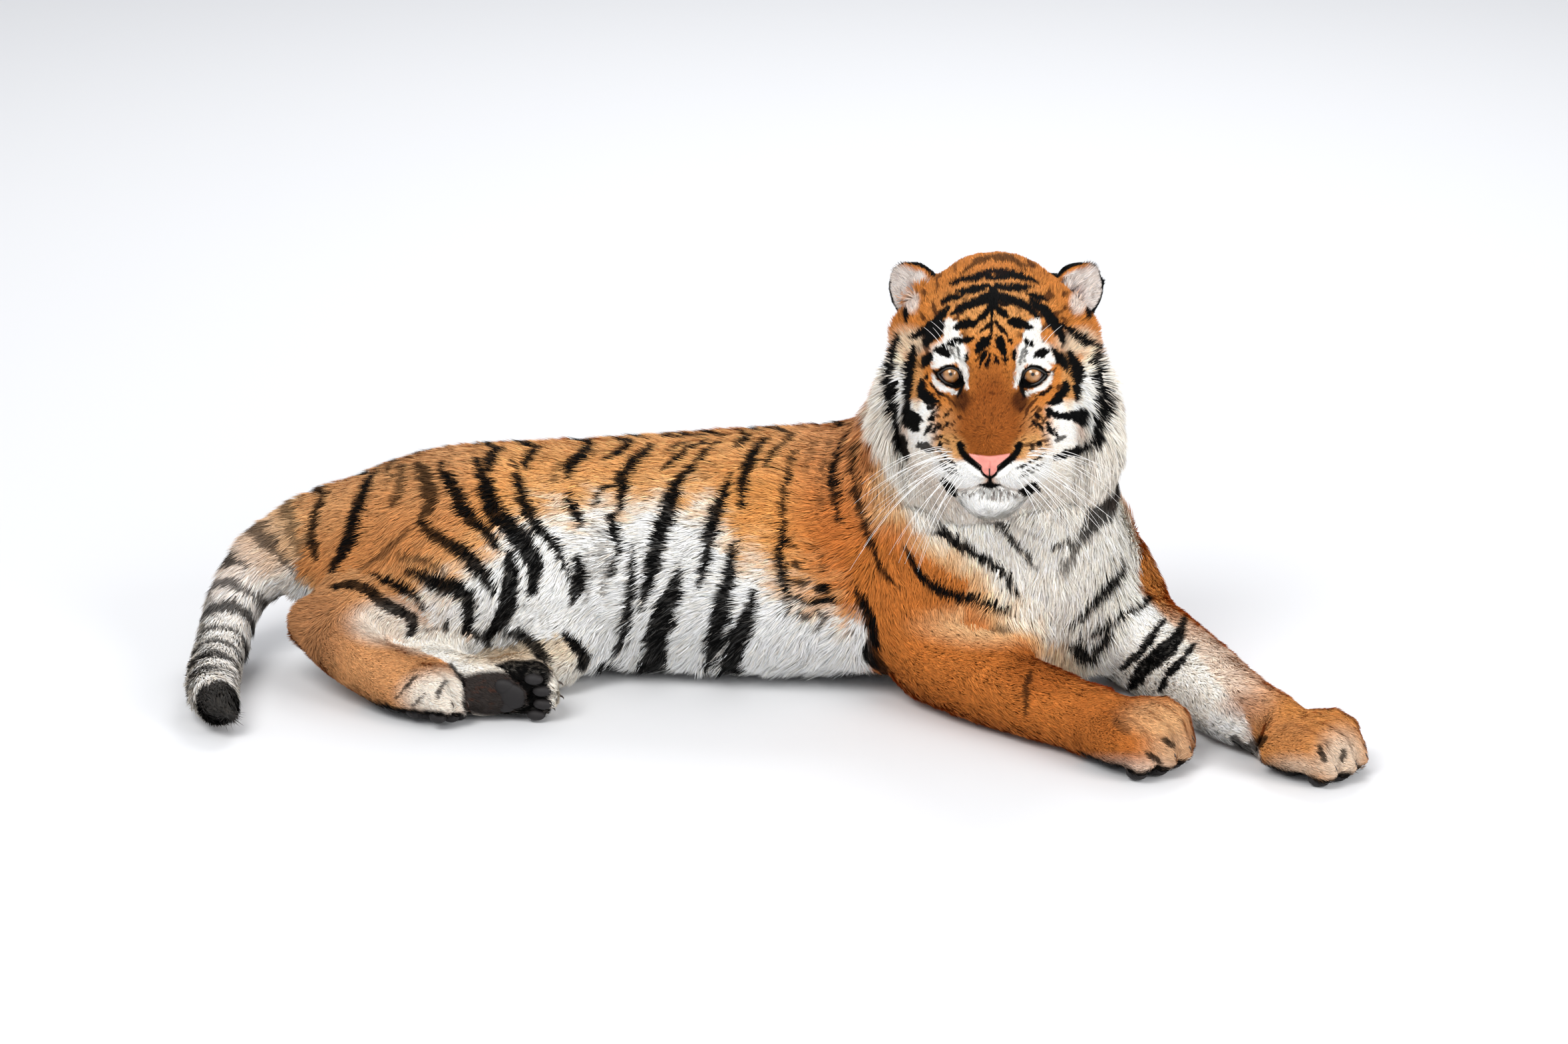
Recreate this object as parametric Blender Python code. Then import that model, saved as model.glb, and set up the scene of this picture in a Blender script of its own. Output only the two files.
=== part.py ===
"""A Siberian tiger lying on the floor with its head up, life size, as a still museum model.

Metres, +Z up. The camera side of the animal, its right flank, faces -Y and its head is towards +X.
Flesh is modelled whole: each limb, the trunk and the head are lofted through named stations,
fused by a voxel remesh, relaxed, thinned, laid on the floor and then parted with thin cuts.
"""

import math

import bmesh
import bpy
import numpy as np
from mathutils import Matrix, Vector

# ---- driving dimensions -------------------------------------------------------------------
EYEBALL_RADIUS = 0.0200
EYE_SPACING = 0.1128  # between the centres of the two eyeballs
PARTING = 0.0010  # width of the thin cuts between neighbouring pieces
VOXEL = 0.0065
FLESH_TRIANGLES = 3350  # of the whole flesh before it is parted
PRESSED = 0.006  # how far the limbs press into the floor, which flattens them where they rest
NOSE_CENTRE, NOSE_SIZE = (0, -0.192, -0.094), (0.040, 0.016, 0.026)
JAW_CENTRE, JAW_SIZE = (0, -0.118, -0.158), (0.066, 0.082, 0.036)
NECK_BASE, NECK_UP = (0.26, -0.10, 0.270), (0.35, -0.35, 0.87)
EYE_DEPTH, EYE_HEIGHT = -0.083, 0.0285
SOCKET_GAP = 0.0007  # round each eyeball
HEAD_RAYS = 6  # fineness of the ball of directions that the head is drawn from
BODY_RELAX, FEET_RELAX = 24, 3  # rounds of smoothing after the fusing
RIGHT_HAUNCH = ((-0.425, -0.122, 0.160), (0.172, 0.112, 0.118), (0, 16, 0))  # centre, radii, turn

# The balls and slabs whose surfaces part the pieces: centre, radii, turn in degrees.
HEAD_PARTING = ((0, -0.020, -0.012), (0.24, 0.22, 0.235))
RIGHT_ARM_PARTING = ((0.190, -0.165, 0.165), (0.112, 0.100, 0.150), (0, 6, 0))
LEFT_ARM_PARTING = ((0.462, -0.070, 0.160), (0.115, 0.125, 0.165), (0, -6, 0))
TAIL_PARTING_RADIUS = 0.075
EAR_ROOM, HAUNCH_ROOM, THIGH_ROOM, RIGHT_ARM_ROOM, LEFT_ARM_ROOM = 0.006, 0.010, 0.010, 0.006, 0.004
WRIST_BACK, WRIST_REACH, WRIST_SPAN = 0.010, 0.22, 0.20
NECK_REACH, NECK_SPAN = 0.4, 0.7
RIGHT_TOES_PARTING = [(-0.470, -0.305, 0.046, 0.062, 0.052), (-0.410, -0.330, 0.044, 0.050, 0.044)]
LEFT_TOES_PARTING = [(-0.350, -0.285, 0.052, 0.048, 0.056), (-0.290, -0.290, 0.050, 0.040, 0.050)]
RIGHT_HOCK_PARTING = [(-0.655, -0.140, 0.104, 0.052, 0.058), (-0.700, -0.150, 0.090, 0.056, 0.066)]
LEFT_HOCK_PARTING = [(-0.550, -0.160, 0.050, 0.046, 0.054)]

# The head's own frame: +X towards the animal's left, -Y out through the nose, +Z up.
HEAD_CENTRE = Vector((0.296, -0.190, 0.453))
HEAD_PITCH = math.radians(15.0)
HEAD_YAW = math.radians(-4.0)
HEAD_ROLL = math.radians(-1.0)
HEAD = (
    Matrix.Translation(HEAD_CENTRE)
    @ Matrix.Rotation(HEAD_YAW, 4, "Z")
    @ Matrix.Rotation(-HEAD_PITCH, 4, "X")
    @ Matrix.Rotation(HEAD_ROLL, 4, "Y")
)

FINISHES = {
    # slot: (colour, roughness)
    "coat": ((0.62, 0.26, 0.07, 1.0), 0.85),
    "nose": ((0.72, 0.33, 0.28, 1.0), 0.45),
    "eye": ((0.55, 0.33, 0.12, 1.0), 0.08),
}


# ---- shapes -------------------------------------------------------------------------------
def clear_scene():
    for obj in list(bpy.data.objects):
        bpy.data.objects.remove(obj)


def new_object(name, bm):
    mesh = bpy.data.meshes.new(name)
    bm.to_mesh(mesh)
    bm.free()
    obj = bpy.data.objects.new(name, mesh)
    bpy.context.scene.collection.objects.link(obj)
    return obj


def smooth_path(stations, steps):
    """Stations joined by a Catmull-Rom curve, with every column interpolated alike."""
    knots = np.array(stations, float)
    ends = [2 * knots[0] - knots[1], *knots, 2 * knots[-1] - knots[-2]]
    rows = []
    for a, b, c, d in zip(ends, ends[1:], ends[2:], ends[3:]):
        for i in range(steps):
            t = i / steps
            rows.append(
                0.5 * (2 * b + (c - a) * t + (2 * a - 5 * b + 4 * c - d) * t * t
                       + (3 * b - a - 3 * c + d) * t ** 3)
            )
    rows.append(knots[-1])
    return np.array(rows)


def loft(name, stations, up=(0, 0, 1), sides=28, steps=4, power=2.0, grow=0.0, flat_start=False,
         dome=(22, 45, 66, 82)):
    """A closed tube through stations of (x, y, z, half width, half height), with domed ends.

    The width is measured square to the path and to up. power above 2 makes the rings boxier.
    """
    rows = smooth_path(stations, steps)
    centres, sizes = rows[:, :3], np.maximum(rows[:, 3:5], 0.002) + grow
    tangents = np.gradient(centres, axis=0)
    tangents /= np.linalg.norm(tangents, axis=1)[:, None]
    angles = np.linspace(0, 2 * math.pi, sides, endpoint=False)
    cos, sin = np.cos(angles), np.sin(angles)
    ring_x = np.sign(cos) * np.abs(cos) ** (2 / power)
    ring_y = np.sign(sin) * np.abs(sin) ** (2 / power)

    def ring(centre, tangent, size):
        across = Vector(tangent).cross(Vector(up)).normalized()
        high = across.cross(Vector(tangent)).normalized()
        return [Vector(centre) + across * (x * size[0]) + high * (y * size[1])
                for x, y in zip(ring_x, ring_y)]

    rings = [ring(*row) for row in zip(centres, tangents, sizes)]

    def domed(centre, tangent, size, sign):
        reach = min(size)
        return [ring(Vector(centre) + Vector(tangent) * (sign * reach * math.sin(a)),
                     tangent, size * math.cos(a)) for a in map(math.radians, dome)]

    if not flat_start:
        rings = domed(centres[0], tangents[0], sizes[0], -1)[::-1] + rings
    rings += domed(centres[-1], tangents[-1], sizes[-1], 1)
    bm = bmesh.new()
    loops = [[bm.verts.new(p) for p in points] for points in rings]
    for lower, upper in zip(loops, loops[1:]):
        for i in range(sides):
            j = (i + 1) % sides
            bm.faces.new((lower[i], lower[j], upper[j], upper[i]))
    bm.faces.new(loops[0][::-1])
    bm.faces.new(loops[-1])
    bmesh.ops.recalc_face_normals(bm, faces=bm.faces)
    return new_object(name, bm)


def ball(name, centre, radii, turn=(0, 0, 0), grow=0.0, fineness=4):
    """An ellipsoid: radii along its own axes, turned by Euler angles in degrees."""
    bm = bmesh.new()
    bmesh.ops.create_icosphere(bm, subdivisions=fineness, radius=1.0)
    rotation = Matrix.Identity(4)
    for angle, axis in zip(turn, "XYZ"):
        rotation = Matrix.Rotation(math.radians(angle), 4, axis) @ rotation
    scale = Matrix.Diagonal([r + grow for r in radii] + [1.0])
    bm.transform(Matrix.Translation(Vector(centre)) @ rotation @ scale)
    return new_object(name, bm)


def both_sides(make, name, centre, radii, turn=(0, 0, 0)):
    """A pair of head shapes, mirrored across the head's middle plane."""
    pair = []
    for side in (-1, 1):
        turned = (turn[0], side * turn[1], side * turn[2])
        pair.append(make(f"{name}_{side}", (side * centre[0], *centre[1:]), radii, turned))
    return pair


def in_head(objects):
    for obj in objects:
        obj.data.transform(HEAD)
    return objects


def baked(obj):
    """Replaces the object's mesh by what its modifiers make of it."""
    graph = bpy.context.evaluated_depsgraph_get()
    mesh = bpy.data.meshes.new_from_object(obj.evaluated_get(graph), depsgraph=graph)
    obj.modifiers.clear()
    obj.data = mesh
    return obj


def fused(name, objects, voxel, rounds):
    """The union of overlapping closed shapes as one skin, relaxed so that the joins blend."""
    bm = bmesh.new()
    for obj in objects:
        bm.from_mesh(obj.data)
        bpy.data.objects.remove(obj)
    whole = new_object(name, bm)
    remesh = whole.modifiers.new("fuse", "REMESH")
    remesh.mode = "VOXEL"
    remesh.voxel_size = voxel
    if rounds:
        relax = whole.modifiers.new("relax", "SMOOTH")
        relax.factor = 0.5
        relax.iterations = rounds
    return baked(whole)


# ---- the body -----------------------------------------------------------------------------
def trunk_shapes():
    trunk = [
        # x, y, height of the ring's middle, half width, half height
        (-0.655, -0.010, 0.140, 0.070, 0.085),
        (-0.600, -0.020, 0.145, 0.125, 0.134),
        (-0.500, -0.030, 0.157, 0.158, 0.161),
        (-0.400, -0.040, 0.163, 0.160, 0.168),
        (-0.300, -0.040, 0.166, 0.148, 0.171),
        (-0.180, -0.045, 0.169, 0.165, 0.175),
        (-0.050, -0.055, 0.174, 0.184, 0.180),
        (0.080, -0.060, 0.179, 0.186, 0.184),
        (0.200, -0.075, 0.184, 0.178, 0.182),
        (0.300, -0.110, 0.192, 0.162, 0.168),
        (0.370, -0.175, 0.198, 0.128, 0.132),
    ]
    neck = [
        (0.120, -0.050, 0.225, 0.125, 0.130),
        (0.195, -0.052, 0.285, 0.132, 0.135),
        (0.252, -0.070, 0.360, 0.132, 0.126),
        (0.283, -0.105, 0.430, 0.128, 0.112),
        (0.292, -0.125, 0.480, 0.112, 0.100),
    ]
    throat = [
        (0.360, -0.165, 0.110, 0.115, 0.100),
        (0.350, -0.165, 0.200, 0.130, 0.112),
        (0.326, -0.170, 0.290, 0.136, 0.106),
        (0.300, -0.175, 0.370, 0.128, 0.098),
    ]
    return [
        loft("trunk", trunk, power=2.2),
        loft("neck", neck, up=(0, 1, 0.3)),
        loft("throat", throat, up=(0, 1, 0)),
        ball("shoulder_right", (0.185, -0.155, 0.205), (0.115, 0.088, 0.135), (0, 12, 0)),
        ball("shoulder_left", (0.408, -0.080, 0.205), (0.103, 0.115, 0.138), (0, -8, 0)),
        ball("haunch_right", *RIGHT_HAUNCH),
        ball("haunch_left", (-0.500, 0.060, 0.110), (0.150, 0.100, 0.105)),
        ball("croup", (-0.520, -0.010, 0.200), (0.130, 0.110, 0.095), (0, -14, 0)),
    ]


RIGHT_ARM = [
    (0.200, -0.150, 0.205, 0.085, 0.100),
    (0.205, -0.180, 0.135, 0.078, 0.085),
    (0.205, -0.205, 0.080, 0.072, 0.076),
]
RIGHT_FOREARM = [
    (0.205, -0.212, 0.073, 0.068, 0.073),
    (0.270, -0.290, 0.070, 0.066, 0.070),
    (0.340, -0.358, 0.066, 0.062, 0.066),
    (0.410, -0.420, 0.058, 0.056, 0.058),
    (0.450, -0.452, 0.052, 0.058, 0.052),
]
LEFT_ARM = [
    (0.430, -0.050, 0.205, 0.082, 0.095),
    (0.465, -0.060, 0.140, 0.078, 0.085),
    (0.492, -0.085, 0.085, 0.074, 0.080),
]
LEFT_FOREARM = [
    (0.488, -0.100, 0.080, 0.078, 0.078),
    (0.542, -0.218, 0.075, 0.076, 0.074),
    (0.602, -0.335, 0.066, 0.067, 0.066),
    (0.658, -0.430, 0.056, 0.058, 0.057),
    (0.685, -0.470, 0.050, 0.056, 0.050),
]
RIGHT_THIGH = [
    (-0.520, -0.030, 0.200, 0.095, 0.110),
    (-0.430, -0.090, 0.170, 0.085, 0.105),
    (-0.350, -0.135, 0.140, 0.070, 0.078),
]
RIGHT_SHANK = [
    (-0.345, -0.145, 0.135, 0.055, 0.068),
    (-0.440, -0.150, 0.135, 0.052, 0.064),
    (-0.560, -0.140, 0.126, 0.045, 0.052),
    (-0.655, -0.135, 0.112, 0.040, 0.044),
    (-0.690, -0.138, 0.105, 0.038, 0.042),
]
RIGHT_METATARSUS = [
    (-0.690, -0.142, 0.098, 0.036, 0.044),
    (-0.645, -0.185, 0.082, 0.038, 0.046),
    (-0.585, -0.235, 0.062, 0.042, 0.046),
    (-0.530, -0.275, 0.048, 0.048, 0.044),
]
LEFT_THIGH = [
    (-0.480, 0.010, 0.100, 0.090, 0.095),
    (-0.390, -0.080, 0.075, 0.075, 0.075),
    (-0.325, -0.155, 0.056, 0.056, 0.056),
]
LEFT_SHANK = [
    (-0.322, -0.172, 0.052, 0.050, 0.052),
    (-0.400, -0.165, 0.054, 0.046, 0.050),
    (-0.480, -0.152, 0.056, 0.042, 0.046),
    (-0.540, -0.150, 0.056, 0.038, 0.042),
]
LEFT_METATARSUS = [
    (-0.545, -0.160, 0.054, 0.036, 0.040),
    (-0.510, -0.215, 0.052, 0.036, 0.044),
    (-0.455, -0.262, 0.050, 0.038, 0.047),
    (-0.415, -0.280, 0.049, 0.040, 0.049),
]
TAIL = [
    (-0.600, 0.000, 0.206, 0.080, 0.080),
    (-0.668, 0.020, 0.192, 0.066, 0.068),
    (-0.728, 0.020, 0.164, 0.056, 0.060),
    (-0.776, 0.000, 0.124, 0.052, 0.055),
    (-0.801, -0.050, 0.080, 0.050, 0.051),
    (-0.810, -0.125, 0.052, 0.048, 0.048),
    (-0.813, -0.215, 0.048, 0.047, 0.047),
    (-0.806, -0.300, 0.046, 0.045, 0.045),
    (-0.788, -0.350, 0.043, 0.038, 0.040),
]


def paw(name, wrist, forward, width, length, height, roll=0.0):
    """A cat's foot: a broad pad under four toes that arch over their knuckles."""
    ahead = Vector((*forward, 0)).normalized()
    side = Vector((0, 0, 1)).cross(ahead)
    tilt = Matrix.Rotation(math.radians(roll), 3, ahead)
    start = Vector(wrist)

    def at(reach, across, rise):
        rolled = tilt @ (side * (across * width) + Vector((0, 0, rise * height)))
        return start + ahead * (reach * length) + rolled

    shapes = [
        loft(name + "_pad", [
            (*at(-0.10, 0, 0.00), 0.40 * width, 0.46 * height),
            (*at(0.30, 0, 0.00), 0.44 * width, 0.46 * height),
            (*at(0.62, 0, -0.08), 0.40 * width, 0.38 * height),
        ], up=tilt @ Vector((0, 0, 1)))
    ]
    for i, spread in enumerate((-0.345, -0.125, 0.125, 0.345)):
        reach = 1.0 - 1.3 * spread * spread
        toe = [
            (*at(0.30, 0.8 * spread, 0.10), 0.115 * width, 0.30 * height),
            (*at(0.62 * reach, spread, 0.10), 0.125 * width, 0.33 * height),
            (*at(0.84 * reach, spread * 1.04, 0.00), 0.128 * width, 0.32 * height),
            (*at(0.96 * reach, spread * 1.02, -0.16), 0.105 * width, 0.24 * height),
        ]
        shapes.append(loft(f"{name}_toe_{i}", toe, up=tilt @ Vector((0, 0, 1)), sides=16))
    return shapes


FEET = {
    # name: (wrist point, forward direction, width, length, height, roll in degrees)
    "right_forepaw": ((0.440, -0.440, 0.052), (0.80, -0.60), 0.150, 0.136, 0.094, 0),
    "left_forepaw": ((0.676, -0.472, 0.046), (0.88, -0.48), 0.144, 0.134, 0.084, 0),
    "right_hindpaw": ((-0.540, -0.268, 0.047), (0.93, -0.36), 0.110, 0.105, 0.082, -12),
    "left_hindpaw": ((-0.425, -0.274, 0.054), (0.99, -0.12), 0.092, 0.112, 0.075, -75),
}


def limb_shapes():
    lofts = {
        "right_arm": (RIGHT_ARM, (1, 0, 0)),
        "right_forearm": (RIGHT_FOREARM, (0, 0, 1)),
        "left_arm": (LEFT_ARM, (1, 0, 0)),
        "left_forearm": (LEFT_FOREARM, (0, 0, 1)),
        "right_thigh": (RIGHT_THIGH, (0, 0, 1)),
        "right_shank": (RIGHT_SHANK, (0, 0, 1)),
        "right_metatarsus": (RIGHT_METATARSUS, (0, 0, 1)),
        "left_thigh": (LEFT_THIGH, (0, 0, 1)),
        "left_shank": (LEFT_SHANK, (0, 0, 1)),
        "left_metatarsus": (LEFT_METATARSUS, (0, 0, 1)),
        "tail": (TAIL, (0.2, 0.3, 1)),
    }
    return [loft(name, stations, up=up) for name, (stations, up) in lofts.items()]


def ellipsoid(points, centre, radii, turn=(0, 0, 0)):
    """Signed distance, near enough, from each point to an ellipsoid turned in degrees."""
    rotation = Matrix.Identity(3)
    for angle, axis in zip(turn, "XYZ"):
        rotation = Matrix.Rotation(math.radians(angle), 3, axis) @ rotation
    local = (points - np.array(centre)) @ np.array(rotation)
    outer = np.linalg.norm(local / np.array(radii), axis=1)
    inner = np.linalg.norm(local / np.array(radii) ** 2, axis=1) + 1e-9
    return outer * (outer - 1) / inner


def tapered(points, start, end, r0, r1):
    """Signed distance to a rod from start to end whose radius runs from r0 to r1."""
    start, axis = np.array(start), np.array(end) - np.array(start)
    t = np.clip((points - start) @ axis / (axis @ axis), 0, 1)
    return np.linalg.norm(points - start - t[:, None] * axis, axis=1) - (r0 + (r1 - r0) * t)


def blended(parts, k):
    """Smooth union of several distances, filleted over a length k."""
    whole = parts[0]
    for part in parts[1:]:
        near = np.maximum(k - np.abs(whole - part), 0) / k
        whole = np.minimum(whole, part) - near * near * k / 4
    return whole


def carved(whole, hollow, k):
    near = np.maximum(k - np.abs(whole + hollow), 0) / k
    return np.maximum(whole, -hollow) + near * near * k / 4


def head_distance(p):
    """Signed distance to the head with its coat, in the head's own frame."""
    mirrored = np.abs(p) * [1, 0, 0] + p * [0, 1, 1]
    skull = blended([
        ellipsoid(p, (0, 0.040, 0.073), (0.122, 0.120, 0.129)),
        ellipsoid(p, (0, 0.020, -0.020), (0.136, 0.112, 0.130)),
        ellipsoid(mirrored, (0.108, 0.045, -0.054), (0.084, 0.085, 0.128), (0, -4, 8)),
        ellipsoid(p, (0, 0.030, -0.120), (0.138, 0.090, 0.082)),
        ellipsoid(mirrored, (0.086, 0.045, 0.080), (0.052, 0.070, 0.052), (0, 20, 0)),
    ], 0.050)
    face = blended([
        tapered(p, (0, -0.048, 0.078), (0, -0.157, -0.070), 0.052, 0.034),
        ellipsoid(p, (0, -0.085, -0.080), (0.080, 0.085, 0.064)),
        ellipsoid(mirrored, (0.080, -0.045, -0.030), (0.052, 0.056, 0.052)),
        ellipsoid(mirrored, (0.050, -0.062, 0.056), (0.038, 0.028, 0.030), (0, 0, -15)),
    ], 0.045)
    muzzle = blended([
        ellipsoid(mirrored, (0.036, -0.138, -0.104), (0.041, 0.052, 0.038), (-14, 0, 10)),
        ellipsoid(p, (0, -0.128, -0.142), (0.042, 0.048, 0.036)),
    ], 0.018)
    head = blended([skull, face], 0.050)
    head = blended([head, muzzle], 0.026)
    head = blended([head, ellipsoid(p, (0, -0.168, -0.092), (0.034, 0.026, 0.023))], 0.014)
    return carved(head, ellipsoid(mirrored, (0.057, -0.106, 0.026), (0.026, 0.020, 0.018)), 0.026)


def head_mass():
    """The head as seen from its middle outwards: each direction run in to the first surface."""
    bm = bmesh.new()
    bmesh.ops.create_icosphere(bm, subdivisions=HEAD_RAYS, radius=1.0)
    middle = np.array((0.0, 0.0, -0.030))
    out = np.array([v.co for v in bm.verts])
    reach = np.full(len(out), 0.300)
    for _ in range(40):
        reach -= 0.8 * head_distance(middle + out * reach[:, None])
    for vertex, point in zip(bm.verts, middle + out * reach[:, None]):
        vertex.co = point
    return in_head([new_object("head_mass", bm)])


EAR_CENTRE = (0.112, 0.058, 0.140)
EAR_SIZE = (0.038, 0.016, 0.047)
EAR_TURN = (-6, 40, 14)


def ear_shapes():
    return in_head(both_sides(ball, "ear", EAR_CENTRE, EAR_SIZE, EAR_TURN))


def pressed_down(objects):
    for obj in objects:
        obj.data.transform(Matrix.Translation((0, 0, -PRESSED)))
    return objects


def whole_flesh():
    limbs = pressed_down(limb_shapes())
    body = fused("body", trunk_shapes() + limbs + head_mass(), VOXEL, BODY_RELAX)
    feet = pressed_down([shape for name, spec in FEET.items() for shape in paw(name, *spec)])
    feet = fused("feet", feet, VOXEL * 0.6, FEET_RELAX)
    return fused("flesh", [body, feet, *head_mass(), *ear_shapes()], VOXEL * 0.7, FEET_RELAX)


def thinned(flesh, triangles):
    """Fewer triangles, with most of them left on the head and the feet."""
    points = np.array([v.co for v in flesh.data.vertices])
    keep = flesh.vertex_groups.new(name="keep")
    head = np.linalg.norm((points - HEAD_CENTRE) / (0.24, 0.22, 0.24), axis=1) < 1
    foot = np.zeros(len(points), bool)
    for wrist, forward, *_ in FEET.values():
        middle = Vector(wrist) + Vector((*forward, 0)) * 0.07
        foot |= np.linalg.norm(points - np.array(middle), axis=1) < 0.11
    weight = np.full(len(points), 0.10)
    weight[foot] = 0.45
    weight[head] = 0.34
    for value in (0.10, 0.45, 0.34):
        chosen = np.nonzero(weight == value)[0].tolist()
        keep.add(chosen, value, "REPLACE")
    flesh.data.calc_loop_triangles()
    thin = flesh.modifiers.new("thin", "DECIMATE")
    thin.ratio = triangles / len(flesh.data.loop_triangles)
    thin.vertex_group = "keep"
    thin.invert_vertex_group = True
    thin.vertex_group_factor = 1.0
    thin.use_collapse_triangulate = True
    return baked(flesh)


def laid_on_floor(flesh):
    """Everything under the floor's level pressed away, which leaves the flats it rests on."""
    bm = bmesh.new()
    bm.from_mesh(flesh.data)
    geometry = bm.verts[:] + bm.edges[:] + bm.faces[:]
    cut = bmesh.ops.bisect_plane(bm, geom=geometry, dist=1e-5, plane_co=(0, 0, 0),
                                 plane_no=(0, 0, -1), clear_outer=True)
    rim = [e for e in cut["geom_cut"] if isinstance(e, bmesh.types.BMEdge)]
    bmesh.ops.holes_fill(bm, edges=rim)
    bmesh.ops.triangulate(bm, faces=[f for f in bm.faces if len(f.verts) > 3])
    bm.to_mesh(flesh.data)
    bm.free()
    return flesh


# ---- parting ------------------------------------------------------------------------------
def boolean(obj, operation, other):
    cut = obj.modifiers.new("cut", "BOOLEAN")
    cut.operation = operation
    cut.object = other
    cut.solver = "EXACT"
    return baked(obj)


def largest_body(obj):
    """Crumbs that a cut leaves beside the piece are dropped."""
    bm = bmesh.new()
    bm.from_mesh(obj.data)
    unseen, bodies = set(bm.verts), []
    while unseen:
        front, body = [unseen.pop()], set()
        while front:
            vertex = front.pop()
            body.add(vertex)
            for edge in vertex.link_edges:
                other = edge.other_vert(vertex)
                if other in unseen:
                    unseen.discard(other)
                    front.append(other)
        bodies.append(body)
    bodies.sort(key=len)
    for body in bodies[:-1]:
        bmesh.ops.delete(bm, geom=list(body), context="VERTS")
    bmesh.ops.triangulate(bm, faces=bm.faces[:])
    bm.to_mesh(obj.data)
    bm.free()
    return obj


def fattened(obj, by):
    """A copy of a cutter, every point moved out along its normal."""
    copy = bpy.data.objects.new(obj.name + "_fat", obj.data.copy())
    bpy.context.scene.collection.objects.link(copy)
    for vertex, normal in zip(copy.data.vertices, [n.vector.copy() for n in obj.data.vertex_normals]):
        vertex.co = vertex.co + normal * by
    return copy


def part_off(rest, name, cutter):
    """Splits the flesh by a cutter's surface: what lies inside it becomes a piece of its own."""
    piece = bpy.data.objects.new(name, rest.data.copy())
    bpy.context.scene.collection.objects.link(piece)
    wide = fattened(cutter, PARTING)
    largest_body(boolean(piece, "INTERSECT", cutter))
    largest_body(boolean(rest, "DIFFERENCE", wide))
    for used in (cutter, wide):
        bpy.data.objects.remove(used)
    return piece


def limb_cutter(name, stations, grow, **options):
    return loft(name, stations, sides=11, steps=1, grow=grow, dome=(50,), **options)


def trimmed(obj, share):
    """Drops the needless points that the cuts leave in flat places."""
    thin = obj.modifiers.new("trim", "DECIMATE")
    thin.ratio = share
    thin.use_collapse_triangulate = True
    return baked(obj)


def slab(name, point, normal, reach, size):
    """A box whose near face passes through the point, square to the normal."""
    bm = bmesh.new()
    bmesh.ops.create_cube(bm, size=1.0)
    away = Vector(normal).normalized()
    turn = away.to_track_quat("Z", "Y").to_matrix().to_4x4()
    scale = Matrix.Diagonal((size, size, reach, 1.0))
    bm.transform(Matrix.Translation(Vector(point) + away * reach / 2) @ turn @ scale)
    return new_object(name, bm)


def finish(obj, slot):
    material = bpy.data.materials.get(slot) or bpy.data.materials.new(slot)
    material.use_nodes = True
    shader = material.node_tree.nodes["Principled BSDF"]
    shader.inputs["Base Color"].default_value = FINISHES[slot][0]
    shader.inputs["Roughness"].default_value = FINISHES[slot][1]
    obj.data.materials.clear()
    obj.data.materials.append(material)


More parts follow.
